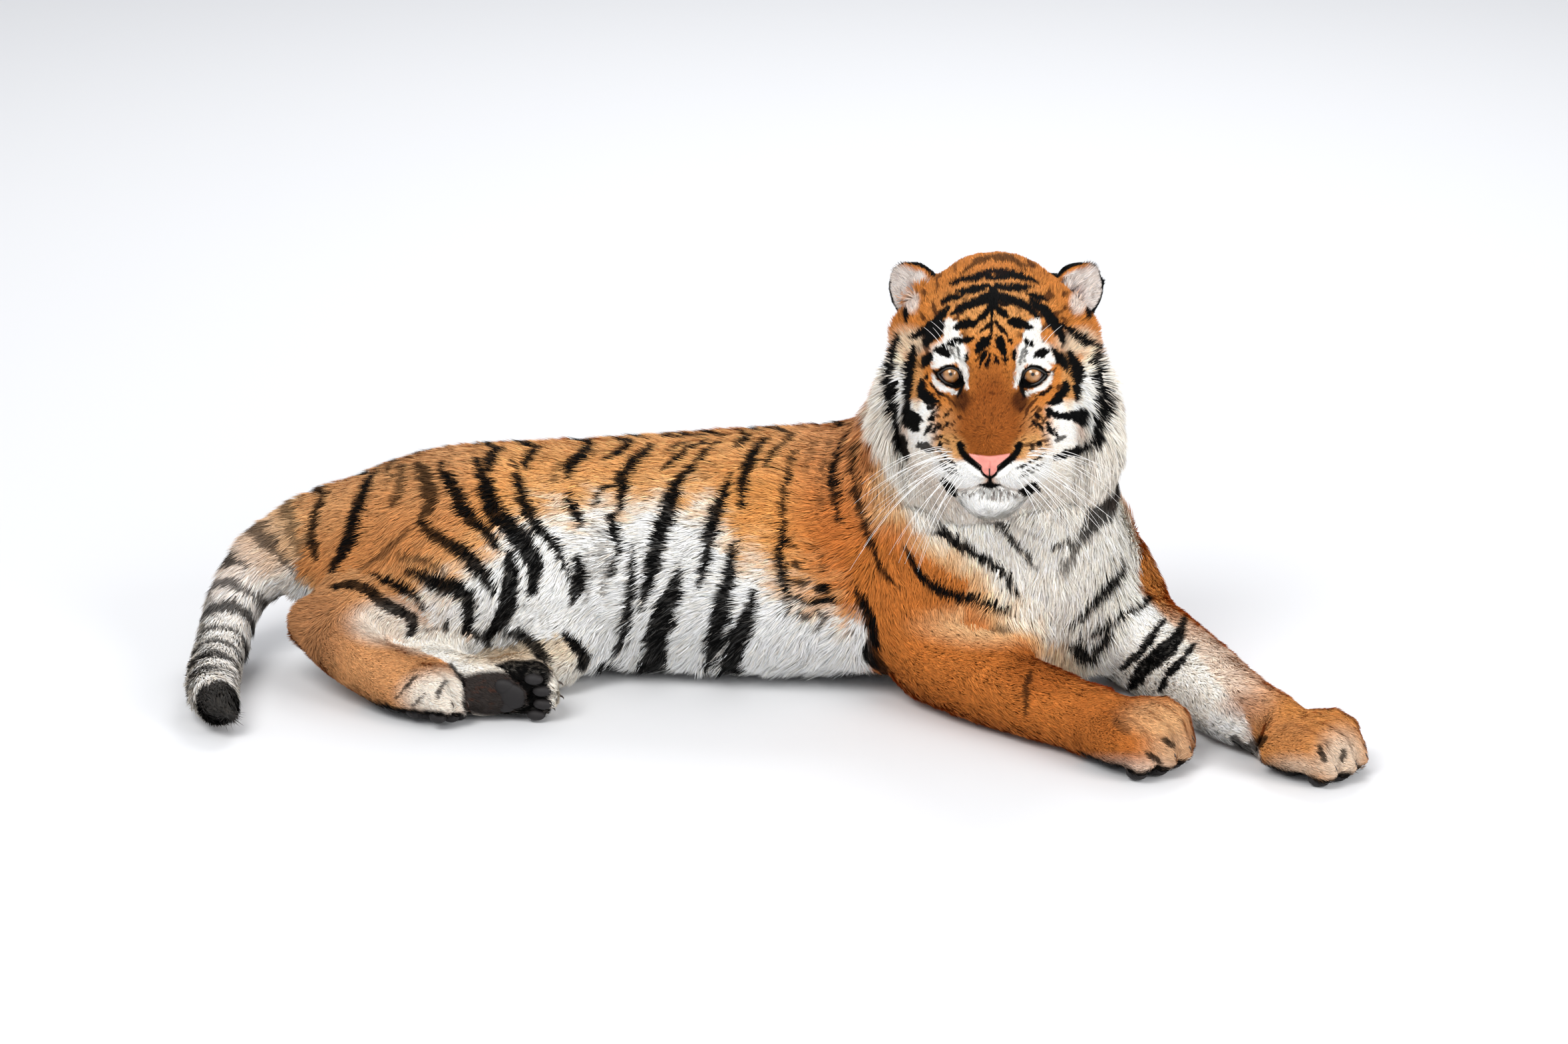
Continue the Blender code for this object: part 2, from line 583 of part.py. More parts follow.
def main():
    clear_scene()
    flesh = laid_on_floor(thinned(whole_flesh(), FLESH_TRIANGLES))
    # Feet, each cut square through its wrist or hock.
    for name, (wrist, forward, width, length, height, roll) in FEET.items():
        if name.endswith("forepaw"):
            back = Vector(wrist) - Vector((*forward, 0)) * WRIST_BACK
            part_off(flesh, name, slab("k", back, (*forward, 0), WRIST_REACH, WRIST_SPAN))
    part_off(flesh, "right_hindpaw", limb_cutter(
        "k", RIGHT_METATARSUS[1:] + RIGHT_TOES_PARTING, 0.010, flat_start=True))
    part_off(flesh, "left_hindpaw", limb_cutter(
        "k", LEFT_METATARSUS[1:] + LEFT_TOES_PARTING, 0.008, flat_start=True))
    part_off(flesh, "right_forearm", limb_cutter("k", RIGHT_FOREARM, 0.012))
    part_off(flesh, "left_forearm", limb_cutter("k", LEFT_FOREARM, 0.012))
    part_off(flesh, "right_shank", limb_cutter("k", RIGHT_SHANK[:-2] + RIGHT_HOCK_PARTING, 0.010))
    part_off(flesh, "left_shank", limb_cutter("k", LEFT_SHANK[:-1] + LEFT_HOCK_PARTING, 0.008))
    # Tail.
    for name, at in (("tail_tip", 6), ("tail_middle", 3), ("tail_base", 1)):
        centres = [Vector(row[:3]) for row in TAIL[at:]]
        centres.append(centres[-1] * 2 - centres[-2])
        stations = [(*centre, TAIL_PARTING_RADIUS, TAIL_PARTING_RADIUS) for centre in centres]
        part_off(flesh, name, limb_cutter("k", stations, 0.0, flat_start=True))
    # Face, head and neck.
    for ear, side in (("ear_right", -1), ("ear_left", 1)):
        turn = (EAR_TURN[0], side * EAR_TURN[1], side * EAR_TURN[2])
        centre = (side * EAR_CENTRE[0], *EAR_CENTRE[1:])
        cutter = ball("k", centre, EAR_SIZE, turn, EAR_ROOM, 2)
        part_off(flesh, ear, *in_head([cutter]))
    part_off(flesh, "nose", *in_head([ball("k", NOSE_CENTRE, NOSE_SIZE, fineness=2)]))
    part_off(flesh, "jaw", *in_head([ball("k", JAW_CENTRE, JAW_SIZE, fineness=2)]))
    part_off(flesh, "head", *in_head([ball("k", *HEAD_PARTING, fineness=2)]))
    part_off(flesh, "neck", slab("k", NECK_BASE, NECK_UP, NECK_REACH, NECK_SPAN))
    # Thighs and upper arms, which lie against the trunk.
    part_off(flesh, "right_thigh", ball("k", *RIGHT_HAUNCH, HAUNCH_ROOM, 2))
    part_off(flesh, "left_thigh", limb_cutter("k", LEFT_THIGH, THIGH_ROOM))
    part_off(flesh, "right_upper_arm", ball("k", *RIGHT_ARM_PARTING, RIGHT_ARM_ROOM, 2))
    part_off(flesh, "left_upper_arm", ball("k", *LEFT_ARM_PARTING, LEFT_ARM_ROOM, 3))
    flesh.name = "trunk"
    for obj in list(bpy.data.objects):
        trimmed(obj, 0.72 if obj.name in ("trunk", "neck") else 0.80)
    # Eyes: balls in their sockets.
    for eye, side in (("eye_right", -1), ("eye_left", 1)):
        centre = (side * EYE_SPACING / 2, EYE_DEPTH, EYE_HEIGHT)
        socket, = in_head([ball("k", centre, (EYEBALL_RADIUS + SOCKET_GAP,) * 3, fineness=3)])
        largest_body(boolean(bpy.data.objects["head"], "DIFFERENCE", socket))
        bpy.data.objects.remove(socket)
        in_head([ball(eye, centre, (EYEBALL_RADIUS,) * 3, fineness=3)])
    for obj in bpy.data.objects:
        finish(obj, {"nos": "nose", "eye": "eye"}.get(obj.name[:3], "coat"))
    # The frame's origin: the middle of the box that holds it all, at floor level.
    corners = np.array([v.co for o in bpy.data.objects for v in o.data.vertices])
    middle = (corners.min(axis=0) + corners.max(axis=0)) / 2
    for obj in bpy.data.objects:
        obj.data.transform(Matrix.Translation((-middle[0], -middle[1], 0)))
    bpy.context.scene["row_origin"] = [float(middle[0]), float(middle[1]), 0.0]


if __name__ == "__main__":
    main()
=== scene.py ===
import math

import bmesh
import bpy
import numpy as np
from mathutils import Matrix, Vector, kdtree
from mathutils.bvhtree import BVHTree


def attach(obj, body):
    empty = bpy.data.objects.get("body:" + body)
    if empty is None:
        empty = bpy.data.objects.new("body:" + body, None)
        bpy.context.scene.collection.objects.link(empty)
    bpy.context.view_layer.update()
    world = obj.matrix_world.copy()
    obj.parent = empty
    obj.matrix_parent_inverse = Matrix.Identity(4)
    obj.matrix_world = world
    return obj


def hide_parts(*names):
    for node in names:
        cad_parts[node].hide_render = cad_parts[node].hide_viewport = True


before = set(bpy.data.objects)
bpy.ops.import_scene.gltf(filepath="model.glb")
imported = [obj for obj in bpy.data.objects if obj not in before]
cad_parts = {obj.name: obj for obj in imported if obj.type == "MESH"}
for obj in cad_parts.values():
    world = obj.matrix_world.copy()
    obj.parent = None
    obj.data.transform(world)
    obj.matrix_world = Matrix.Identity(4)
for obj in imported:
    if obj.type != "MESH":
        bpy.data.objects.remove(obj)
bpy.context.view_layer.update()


# ---- Skin ---------------------------------------------------------------------------------
# The hide under the coat: one closed surface over the trunk, neck, head, legs and tail.
# It lies inside the outline of the coat by the coat's depth, with lids round the eyes,
# cupped ears, lips and a parted mouth, and toes over the pads of each foot.
SKULL, EARS, TAIL = ("head", "jaw"), ("ear_left", "ear_right"), ("tail_base", "tail_middle", "tail_tip")
FORELEG, HINDLEG = ("upper_arm", "forearm", "forepaw"), ("thigh", "shank", "hindpaw")


def both(*parts):
    """The names of these parts of the legs on the left and the right."""
    return tuple(f"{side}_{part}" for part in parts for side in ("left", "right"))


FLESH = ["trunk", "neck", *SKULL, *EARS, *TAIL, *both(*FORELEG, *HINDLEG)]
SKIN_VOXEL = 0.0110
SEAM_SWELL = 0.0013  # closes the thin cuts between the pieces before they are fused
RELAX_ROUNDS, PAW_SOFTNESS = 26, 0.12  # the head and paws keep more of their shape
FLOOR_GAP = 0.0004

# The head's own frame: +X towards the animal's left, -Y out through the nose, +Z up.
HEAD = (Matrix.Translation((0.3194, 0.0218, 0.453))
        @ Matrix.Rotation(math.radians(-4), 4, "Z")
        @ Matrix.Rotation(math.radians(-15), 4, "X")
        @ Matrix.Rotation(math.radians(-1), 4, "Y"))
HEAD_TURN, HEAD_AT = np.array(HEAD.to_3x3()), np.array(HEAD.translation)
EYE_AT, EYE_RADIUS = np.array((0.0564, -0.083, 0.0285)), 0.0200
LID_THICKNESS = 0.0030
LID_INNER, LID_OUTER = np.array((-0.0165, -0.0140)), np.array((0.0190, 0.0005))
LID_RISE, LID_FALL = 0.0158, 0.0072  # how far the upper and lower lids arch from that line
LID_ARCH = 2.2
LID_MIDDLE, LID_HALF = (LID_INNER + LID_OUTER) / 2, np.linalg.norm(LID_OUTER - LID_INNER) / 2
LID_ALONG = (LID_OUTER - LID_INNER) / (2 * LID_HALF)
LID_UP = np.array((-LID_ALONG[1], LID_ALONG[0]))
MOUTH = [(0.000, -0.1210), (0.012, -0.1215), (0.026, -0.1275), (0.042, -0.1300), (0.058, -0.1245)]
LIP_PART, LIP_DEPTH = 0.0017, 0.007
EAR_AT, EAR_TURN, EAR_SIZE = (0.112, 0.058, 0.140), (-6, 40, 14), (0.036, 0.0135, 0.045)

# The feet: (wrist, forward, width, length, height, roll in degrees)
FEET = {
    "right_forepaw": ((0.4634, -0.2282, 0.046), (0.80, -0.60), 0.150, 0.136, 0.094, 0),
    "left_forepaw": ((0.6994, -0.2602, 0.040), (0.88, -0.48), 0.144, 0.134, 0.084, 0),
    "right_hindpaw": ((-0.5166, -0.0562, 0.041), (0.93, -0.36), 0.110, 0.105, 0.082, -12),
    "left_hindpaw": ((-0.4016, -0.0622, 0.048), (0.99, -0.12), 0.092, 0.112, 0.075, -75),
}
TOE_SPREADS = (-0.345, -0.125, 0.125, 0.345)


def smooth_step(low, high, value):
    t = np.clip((value - low) / (high - low), 0, 1)
    return t * t * (3 - 2 * t)


def unit(vectors):
    return vectors / np.maximum(np.linalg.norm(vectors, axis=-1, keepdims=True), 1e-9)


def turned(turn):
    rotation = Matrix.Identity(3)
    for angle, axis in zip(turn, "XYZ"):
        rotation = Matrix.Rotation(math.radians(angle), 3, axis) @ rotation
    return np.array(rotation)


def mirrored(points):
    """The points with one half of the body folded over the other."""
    return np.concatenate([np.abs(points[:, :1]), points[:, 1:]], 1)


def ellipsoid(points, centre, radii, turn=(0, 0, 0)):
    local = (points - np.array(centre)) @ turned(turn)
    outer = np.linalg.norm(local / np.array(radii), axis=1)
    inner = np.linalg.norm(local / np.array(radii) ** 2, axis=1) + 1e-9
    return outer * (outer - 1) / inner


def rod(points, start, end, r0, r1):
    start, axis = np.array(start), np.array(end) - np.array(start)
    t = np.clip((points - start) @ axis / (axis @ axis), 0, 1)
    return np.linalg.norm(points - start - t[:, None] * axis, axis=1) - (r0 + (r1 - r0) * t)


def blended(parts, k):
    whole = parts[0]
    for part in parts[1:]:
        near = np.maximum(k - np.abs(whole - part), 0) / k
        whole = np.minimum(whole, part) - near * near * k / 4
    return whole


def carved(whole, hollow, k):
    near = np.maximum(k - np.abs(whole + hollow), 0) / k
    return np.maximum(whole, -hollow) + near * near * k / 4


FAR = 99.0


def line_distance(points, line):
    """How far each point of a plane lies from a bent line."""
    nearest = np.full(len(points), FAR)
    for a, b in zip(np.array(line)[:-1], np.array(line)[1:]):
        t = np.clip((points - a) @ (b - a) / ((b - a) @ (b - a)), 0, 1)
        nearest = np.minimum(nearest, np.linalg.norm(points - a - t[:, None] * (b - a), axis=1))
    return nearest


def lid_opening(q):
    """Signed distance, in the plane of the face, to the almond between the lids."""
    seen = np.stack([np.abs(q[:, 0]) - EYE_AT[0], q[:, 2] - EYE_AT[2]], 1)
    local = seen - LID_MIDDLE
    u, v = local @ LID_ALONG / LID_HALF, local @ LID_UP
    arch = 1 - np.clip(np.abs(u), 0, 1.4) ** LID_ARCH
    return np.maximum(v - LID_RISE * arch, -v - LID_FALL * arch) * 0.85


def head_distance(p, coat=0.0):
    """Signed distance to the head with its coat; coat is how deep the hide lies under it."""
    m = mirrored(p)
    skull = blended([
        ellipsoid(p, (0, 0.040, 0.073), (0.122, 0.120, 0.129)),
        ellipsoid(p, (0, 0.020, -0.020), (0.136, 0.112, 0.130)),
        ellipsoid(m, (0.108, 0.045, -0.054), (0.084, 0.085, 0.128), (0, -4, 8)),
        ellipsoid(p, (0, 0.030, -0.120), (0.138, 0.090, 0.082)),
        ellipsoid(m, (0.086, 0.045, 0.080), (0.052, 0.070, 0.052), (0, 20, 0)),
    ], 0.050)
    face = blended([
        rod(p, (0, -0.048, 0.078), (0, -0.157, -0.070), 0.050, 0.034),
        rod(m, (0.020, -0.058, 0.050), (0.019, -0.146, -0.072), 0.034, 0.026),
        ellipsoid(p, (0, -0.085, -0.080), (0.084, 0.083, 0.064)),
        ellipsoid(m, (0.074, -0.058, -0.048), (0.055, 0.058, 0.062)),
        ellipsoid(m, (0.050, -0.062, 0.056), (0.038, 0.028, 0.030), (0, 0, -15)),
    ], 0.045)
    muzzle = blended([
        ellipsoid(m, (0.036, -0.138, -0.104), (0.041, 0.052, 0.038), (-14, 0, 10)),
        ellipsoid(p, (0, -0.124, -0.135), (0.045, 0.047, 0.029)),
    ], 0.018)
    head = blended([skull, face], 0.050)
    head = blended([head, muzzle], 0.026)
    head = blended([head, ellipsoid(p, (0, -0.168, -0.092), (0.034, 0.026, 0.023))], 0.014)
    head = carved(head, ellipsoid(m, (0.059, -0.108, 0.0265), (0.026, 0.020, 0.017)), 0.022)
    head = head + coat
    ball = np.linalg.norm(m - EYE_AT, axis=1) - EYE_RADIUS - LID_THICKNESS
    head = blended([head, ball], 0.010)
    outside_ball = EYE_RADIUS - 0.0015 - np.linalg.norm(m - EYE_AT, axis=1)
    head = carved(head, np.maximum(np.maximum(lid_opening(p), outside_ball), p[:, 1] + 0.05), 0.0012)
    lips = line_distance(m[:, [0, 2]], MOUTH) - LIP_PART
    philtrum = line_distance(m[:, [0, 2]], [(0, -0.110), (0, -0.121)]) - 0.0008
    front = np.maximum(np.minimum(lips, philtrum), -(head + LIP_DEPTH))
    head = carved(head, np.maximum(front, p[:, 1] + 0.060), 0.003)
    shell = ellipsoid(m, EAR_AT, EAR_SIZE, EAR_TURN)
    cup_at = np.array(EAR_AT) + turned(EAR_TURN) @ np.array((0, -0.0175, 0.000))
    ear = carved(shell, ellipsoid(m, cup_at, (0.0305, 0.0165, 0.0395), EAR_TURN), 0.005)
    return blended([head, ear], 0.012)


def head_coat_depth(q):
    """How deep the hide lies under the coat's surface: thin on the face, thick in the ruff."""
    x, y, z = np.abs(q[:, 0]), q[:, 1], q[:, 2]
    depth = 0.0035 + 0.004 * smooth_step(-0.09, -0.02, y)
    depth = depth + 0.016 * smooth_step(0.065, 0.180, x) * smooth_step(0.12, 0.04, z)
    depth = depth + 0.006 * smooth_step(0.0, 0.06, y)
    depth = depth + 0.010 * smooth_step(-0.13, -0.17, z) * smooth_step(-0.12, -0.08, y)
    return depth


def foot_frame(name):
    """A foot's wrist, its axes (ahead, sideways, up from its sole) and its size along them."""
    wrist, forward, width, length, height, roll = FEET[name]
    ahead = Vector((*forward, 0)).normalized()
    side = Vector((0, 0, 1)).cross(ahead)
    tilt = Matrix.Rotation(math.radians(roll), 3, ahead)
    axes = np.array([ahead, tilt @ side, tilt @ Vector((0, 0, 1))])
    return np.array(wrist), axes, np.array((length, width, height))


def foot_distance(p, name):
    """Signed distance to a foot: a broad pad under four toes that arch over their knuckles."""
    wrist, axes, (length, width, height) = foot_frame(name)
    local = (p - wrist) @ axes.T
    squeeze = 0.125 * width / (0.33 * height)
    low = local * [1, 1, squeeze]
    parts = [ellipsoid(local, (0.34 * length, 0, -0.01 * height),
                       (0.56 * length, 0.46 * width, 0.47 * height))]
    for spread in TOE_SPREADS:
        reach = 1.0 - 1.3 * spread * spread
        knots = [(0.30, 0.8 * spread, 0.10, 0.120), (0.60 * reach, spread, 0.12, 0.135),
                 (0.78 * reach, 1.02 * spread, 0.02, 0.140),
                 (0.88 * reach, 1.00 * spread, -0.16, 0.120)]
        toe = [rod(low, (a[0] * length, a[1] * width, a[2] * height * squeeze),
                   (b[0] * length, b[1] * width, b[2] * height * squeeze),
                   a[3] * width, b[3] * width) for a, b in zip(knots, knots[1:])]
        parts.append(np.minimum.reduce(toe))
    return blended(parts, 0.013)


PROBE, STEP_SHARE, LONGEST_STEP = 0.0008, 0.9, 0.004


def drawn_to(points, distance, rounds):
    """Moves each point along the slope of a distance until it lies on the surface."""
    points = points.copy()
    for _ in range(rounds):
        here = distance(points)
        slope = np.stack([distance(points + d) - distance(points - d)
                          for d in np.eye(3) * PROBE], 1) / (2 * PROBE)
        size = np.maximum((slope ** 2).sum(1), 0.25)
        points -= slope * np.clip(here / size * STEP_SHARE, -LONGEST_STEP, LONGEST_STEP)[:, None]
    return points


def flesh_mass():
    """The CAD pieces of flesh fused into one closed mesh."""
    whole = bmesh.new()
    for name in [*FLESH, "nose", "eye_left", "eye_right"]:
        piece = bmesh.new()
        piece.from_mesh(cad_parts[name].data)
        bmesh.ops.remove_doubles(piece, verts=piece.verts, dist=1e-5)
        piece.normal_update()
        for vertex in piece.verts:
            vertex.co += vertex.normal * SEAM_SWELL
        swollen = bpy.data.meshes.new(name + "_swollen")
        piece.to_mesh(swollen)
        piece.free()
        whole.from_mesh(swollen)
        bpy.data.meshes.remove(swollen)
    mesh = bpy.data.meshes.new("skin")
    whole.to_mesh(mesh)
    whole.free()
    skin = bpy.data.objects.new("skin", mesh)
    bpy.context.scene.collection.objects.link(skin)
    fuse = skin.modifiers.new("fuse", "REMESH")
    fuse.mode, fuse.voxel_size = "VOXEL", SKIN_VOXEL
    graph = bpy.context.evaluated_depsgraph_get()
    fused = bpy.data.meshes.new_from_object(skin.evaluated_get(graph), depsgraph=graph)
    skin.modifiers.clear()
    skin.data = fused
    return skin


def keep_largest(skin):
    """Drops the small bubbles that close up inside the seams."""
    bm = bmesh.new()
    bm.from_mesh(skin.data)
    seen, bodies = set(), []
    for start in bm.verts:
        if start in seen:
            continue
        front, body = [start], [start]
        seen.add(start)
        while front:
            for edge in front.pop().link_edges:
                for other in edge.verts:
                    if other not in seen:
                        seen.add(other)
                        front.append(other)
                        body.append(other)
        bodies.append(body)
    bodies.sort(key=len)
    for body in bodies[:-1]:
        bmesh.ops.delete(bm, geom=body, context="VERTS")
    bm.to_mesh(skin.data)
    bm.free()


def read(items, field, width, kind):
    """One field of every item of a mesh, a row for each."""
    values = np.empty(len(items) * width, kind)
    items.foreach_get(field, values)
    return values.reshape(-1, width)


def points_of(mesh):
    return read(mesh.vertices, "co", 3, np.float32).astype(float)


def normals_of(mesh):
    return read(mesh.vertex_normals, "vector", 3, np.float32).astype(float)


def edges_of(mesh):
    return read(mesh.edges, "vertices", 2, np.int32)


def set_points(mesh, points):
    mesh.vertices.foreach_set("co", points.astype(np.float32).ravel())
    mesh.update()


def averaged(values, ends, times=1):
    """Each vertex takes the mean of its neighbours' values, as many times over."""
    if values.ndim == 1:
        return averaged(values[:, None], ends, times)[:, 0]
    count = np.bincount(ends.ravel(), minlength=len(values)).astype(float)
    for _ in range(times):
        total = np.stack([
            np.bincount(ends[:, 0], weights=column[ends[:, 1]], minlength=len(values))
            + np.bincount(ends[:, 1], weights=column[ends[:, 0]], minlength=len(values))
            for column in values.T], 1)
        values = total / np.maximum(count, 1)[:, None]
    return values


def relaxed(values, ends, share, times=1):
    """Moves each vertex's values a share of the way to the mean of its neighbours'."""
    for _ in range(times):
        values = values + share * (averaged(values, ends) - values)
    return values


def in_head(points):
    return (points - HEAD_AT) @ HEAD_TURN


def out_of_head(points):
    return points @ HEAD_TURN.T + HEAD_AT


flesh_points, flesh_faces, face_node = [], [], []
for index, name in enumerate(FLESH):
    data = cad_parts[name].data
    start = len(flesh_points)
    flesh_points += [v.co.copy() for v in data.vertices]
    flesh_faces += [[start + i for i in p.vertices] for p in data.polygons]
    face_node += [index] * len(data.polygons)
flesh_tree = BVHTree.FromPolygons(flesh_points, flesh_faces)


def nearest_nodes(points):
    return np.array([face_node[flesh_tree.find_nearest(p)[2]] for p in points.tolist()])


def belongs(nodes, *names):
    return np.isin(nodes, [FLESH.index(name) for name in names])


COAT_DEPTH = {  # how deep the hide lies under the coat away from the head
    ("trunk",): 0.014, ("neck",): 0.021, TAIL: 0.014, both("upper_arm", "thigh"): 0.012,
    both("forearm", "shank"): 0.009, both("forepaw", "hindpaw"): 0.005, (*SKULL, *EARS): 0.012,
}
BELLY_EXTRA = 0.008


def body_coat_depth(nodes, points):
    depth = np.zeros(len(points))
    for names, deep in COAT_DEPTH.items():
        depth[belongs(nodes, *names)] = deep
    return depth + BELLY_EXTRA * smooth_step(0.13, 0.05, points[:, 2]) * belongs(nodes, "trunk")


skin = flesh_mass()
keep_largest(skin)
ends = edges_of(skin.data)
points = points_of(skin.data)
nodes = nearest_nodes(points)
soft = averaged(np.where(belongs(nodes, *SKULL, *EARS, *FEET), PAW_SOFTNESS, 1.0), ends, 6)
points = relaxed(points, ends, 0.5 * soft[:, None], RELAX_ROUNDS)
set_points(skin.data, points)


def from_head_middle(q):
    """Below 1 inside the oval in which the head's own surface shapes the skin."""
    return np.linalg.norm((q - (0, -0.020, -0.012)) / (0.25, 0.23, 0.245), axis=1)


def refine(mesh, *regions):
    """Splits the edges inside each region of vertices, given with its number of cuts."""
    bm = bmesh.new()
    bm.from_mesh(mesh)
    split = [([e for e in bm.edges if inside[e.verts[0].index] and inside[e.verts[1].index]], cuts)
             for inside, cuts in regions]
    for edges, cuts in split:
        edges = [e for e in edges if e.is_valid]
        bmesh.ops.subdivide_edges(bm, edges=edges, cuts=cuts, use_grid_fill=True)
    bmesh.ops.triangulate(bm, faces=[f for f in bm.faces if len(f.verts) > 4])
    bm.to_mesh(mesh)
    bm.free()


# The skin is made finer on the face, ears and paws, and finer again at the lids and lips.
q = in_head(points)
front = (np.abs(head_distance(q)) < 0.016) & (from_head_middle(q) < 1.0)
front &= (q[:, 1] < 0.035) & (np.abs(q[:, 0]) < 0.125)
front |= belongs(nodes, *EARS) & (q[:, 2] > 0.085)
refine(skin.data, (front, 3), (belongs(nodes, *FEET), 2))
q = in_head(points_of(skin.data))
beside = np.abs(q[:, 0])
by_eye = np.hypot(beside - EYE_AT[0], q[:, 2] - EYE_AT[2]) < 0.033
by_mouth = (beside < 0.070) & (np.abs(q[:, 2] + 0.124) < 0.016)
refine(skin.data, ((by_eye | by_mouth) & (q[:, 1] < -0.045), 1))

# Then the head is drawn on to its own surface, and the feet on to theirs.
points = points_of(skin.data)
ends = edges_of(skin.data)
nodes = nearest_nodes(points)
q = in_head(points)
head_near = smooth_step(0.020, 0.010, np.abs(head_distance(q)))
head_near *= smooth_step(1.06, 0.94, from_head_middle(q))
head_near = np.where(belongs(nodes, *EARS), 1.0, head_near)
head_near *= belongs(nodes, *SKULL, *EARS)
for _ in range(5):
    head_near = np.where(q[:, 1] < -0.02, head_near, averaged(head_near, ends))
chosen = np.nonzero(head_near > 0)[0]
depths = head_coat_depth(q[chosen])
drawn = q[chosen]
for rounds in (5, 3, 3):
    drawn = drawn_to(drawn, lambda p: head_distance(p, depths), rounds)
    placed = points.copy()
    placed[chosen] = out_of_head(drawn)
    drawn = in_head(relaxed(placed, ends, 0.35)[chosen])
drawn = out_of_head(drawn_to(drawn, lambda p: head_distance(p, depths), 4))

FOOT_COAT = 0.003
foot_near = np.zeros(len(points))
footed = points.copy()
for name, (wrist, forward, _, foot_length, _, _) in FEET.items():
    rows = np.nonzero(belongs(nodes, name))[0]
    gap = foot_distance(points[rows], name)
    footed[rows] = drawn_to(points[rows], lambda p: foot_distance(p, name) + FOOT_COAT, 8)
    ahead = (points[rows] - np.array(wrist))[:, :2] @ unit(np.array(forward)) / foot_length
    foot_near[rows] = smooth_step(0.024, 0.010, np.abs(gap)) * smooth_step(-0.05, 0.40, ahead)
foot_near = averaged(foot_near, ends, 4)

# Everything else sinks by the depth of its coat, a little at a time.
SINK_STEPS = 5
depth = averaged(body_coat_depth(nodes, points)[:, None], ends, 10)
weight = averaged(1 - np.maximum(head_near, foot_near)[:, None], ends, 10)
sunk = points.copy()
for _ in range(SINK_STEPS):
    set_points(skin.data, sunk)
    sunk -= normals_of(skin.data) * depth * weight / SINK_STEPS
    sunk = relaxed(sunk, ends, 0.3 * weight)
head_share = head_near[chosen][:, None]
sunk[chosen] += head_share * (drawn - sunk[chosen])
sunk += foot_near[:, None] * (footed - sunk)
# The throat lies behind the chin and runs down into the chest without a step.
q = in_head(sunk)
behind = (smooth_step(-0.168, -0.188, q[:, 2]) * smooth_step(-0.30, -0.24, q[:, 2])
          * smooth_step(0.12, 0.05, np.abs(q[:, 0])) * smooth_step(0.04, -0.02, q[:, 1]))
q[:, 1] += 0.026 * behind
sunk += (behind > 0)[:, None] * (out_of_head(q) - sunk)
throat = (smooth_step(-0.172, -0.200, q[:, 2]) * smooth_step(-0.40, -0.32, q[:, 2])
          * smooth_step(0.25, 0.19, np.abs(q[:, 0])) * smooth_step(0.14, 0.08, q[:, 1]))[:, None]
sunk = relaxed(sunk, ends, 0.6 * throat, 90)
sunk[:, 2] = np.maximum(sunk[:, 2], FLOOR_GAP)
set_points(skin.data, sunk)


# ---- Markings -----------------------------------------------------------------------------
# Orange over the back and the outside of the legs, cream to white on the belly, chest and
# face, with black stripes. They are laid out in body measures and read alike by the
# skin and by every tuft rooted in it, so the two always agree.
def lattice_noise(points, scale, seed):
    """Smooth noise from 0 to 1 over space, from a hashed lattice of the given spacing."""
    cell = np.asarray(points) / scale
    low = np.floor(cell).astype(np.int64)
    part = cell - low
    part = part * part * (3 - 2 * part)
    total = np.zeros(len(cell))
    for corner in np.ndindex(2, 2, 2):
        at = low + corner
        hashed = (at[:, 0] * 73856093) ^ (at[:, 1] * 19349663) ^ (at[:, 2] * 83492791)
        hashed = (hashed + seed * 2654435761) & 0xFFFFFFFF
        hashed = ((hashed ^ (hashed >> 15)) * 2246822519) & 0xFFFFFFFF
        hashed = ((hashed ^ (hashed >> 13)) * 3266489917) & 0xFFFFFFFF
        value = ((hashed ^ (hashed >> 16)) & 0xFFFF) / 65535
        share = np.prod(np.where(corner, part, 1 - part), axis=1)
        total += share * value
    return total


def jitter(points, scale, seeds):
    """Two or more smooth noises about 0, one for each seed."""
    return np.stack([lattice_noise(points, scale, seed) - 0.5 for seed in seeds], 1)


def stroked(chart, strokes, edge):
    """How dark the strokes make each point of a chart, in millimetres: 0 bare, 1 full.

    A stroke is (half width at its start, at its middle, at its end, darkness, x, y, x, y ...).
    """
    dark = np.zeros(len(chart))
    for w0, wm, w1, strength, *line in strokes:
        line = np.array(line, float).reshape(-1, 2)
        reach = max(w0, wm, w1) + 3 * edge
        near = np.nonzero(((chart > line.min(0) - reach) & (chart < line.max(0) + reach)).all(1))[0]
        if not len(near):
            continue
        here = chart[near]
        lengths = np.linalg.norm(np.diff(line, axis=0), axis=1)
        run, whole, inside = 0.0, lengths.sum(), np.full(len(near), -FAR)
        for a, b, length in zip(line[:-1], line[1:], lengths):
            t = np.clip((here - a) @ (b - a) / (length * length), 0, 1)
            gap = np.linalg.norm(here - a - t[:, None] * (b - a), axis=1)
            s = (run + t * length) / whole
            width = np.where(s < 0.5, w0 + (wm - w0) * np.sin(math.pi * s),
                             w1 + (wm - w1) * np.sin(math.pi * s))
            inside = np.maximum(inside, width - gap)
            run += length
        dark[near] = np.maximum(dark[near], strength * smooth_step(-edge, edge, inside))
    return dark


def srgb(*levels):
    return (np.array(levels) / 255.0) ** 2.2


ORANGE, SHOULDER_RUST, RUMP_BROWN = srgb(222, 148, 78), srgb(200, 118, 60), srgb(200, 134, 84)
CREAM, WHITE, GREY_WHITE = srgb(246, 230, 202), srgb(255, 253, 247), srgb(238, 230, 218)
BLACK_HAIR, BROWN_HAIR, TAN = srgb(11, 8, 9), srgb(70, 44, 34), srgb(222, 166, 104)
FACE_ORANGE, BRIDGE_RUST, FACE_DARK = srgb(200, 124, 60), srgb(134, 72, 32), srgb(56, 28, 17)

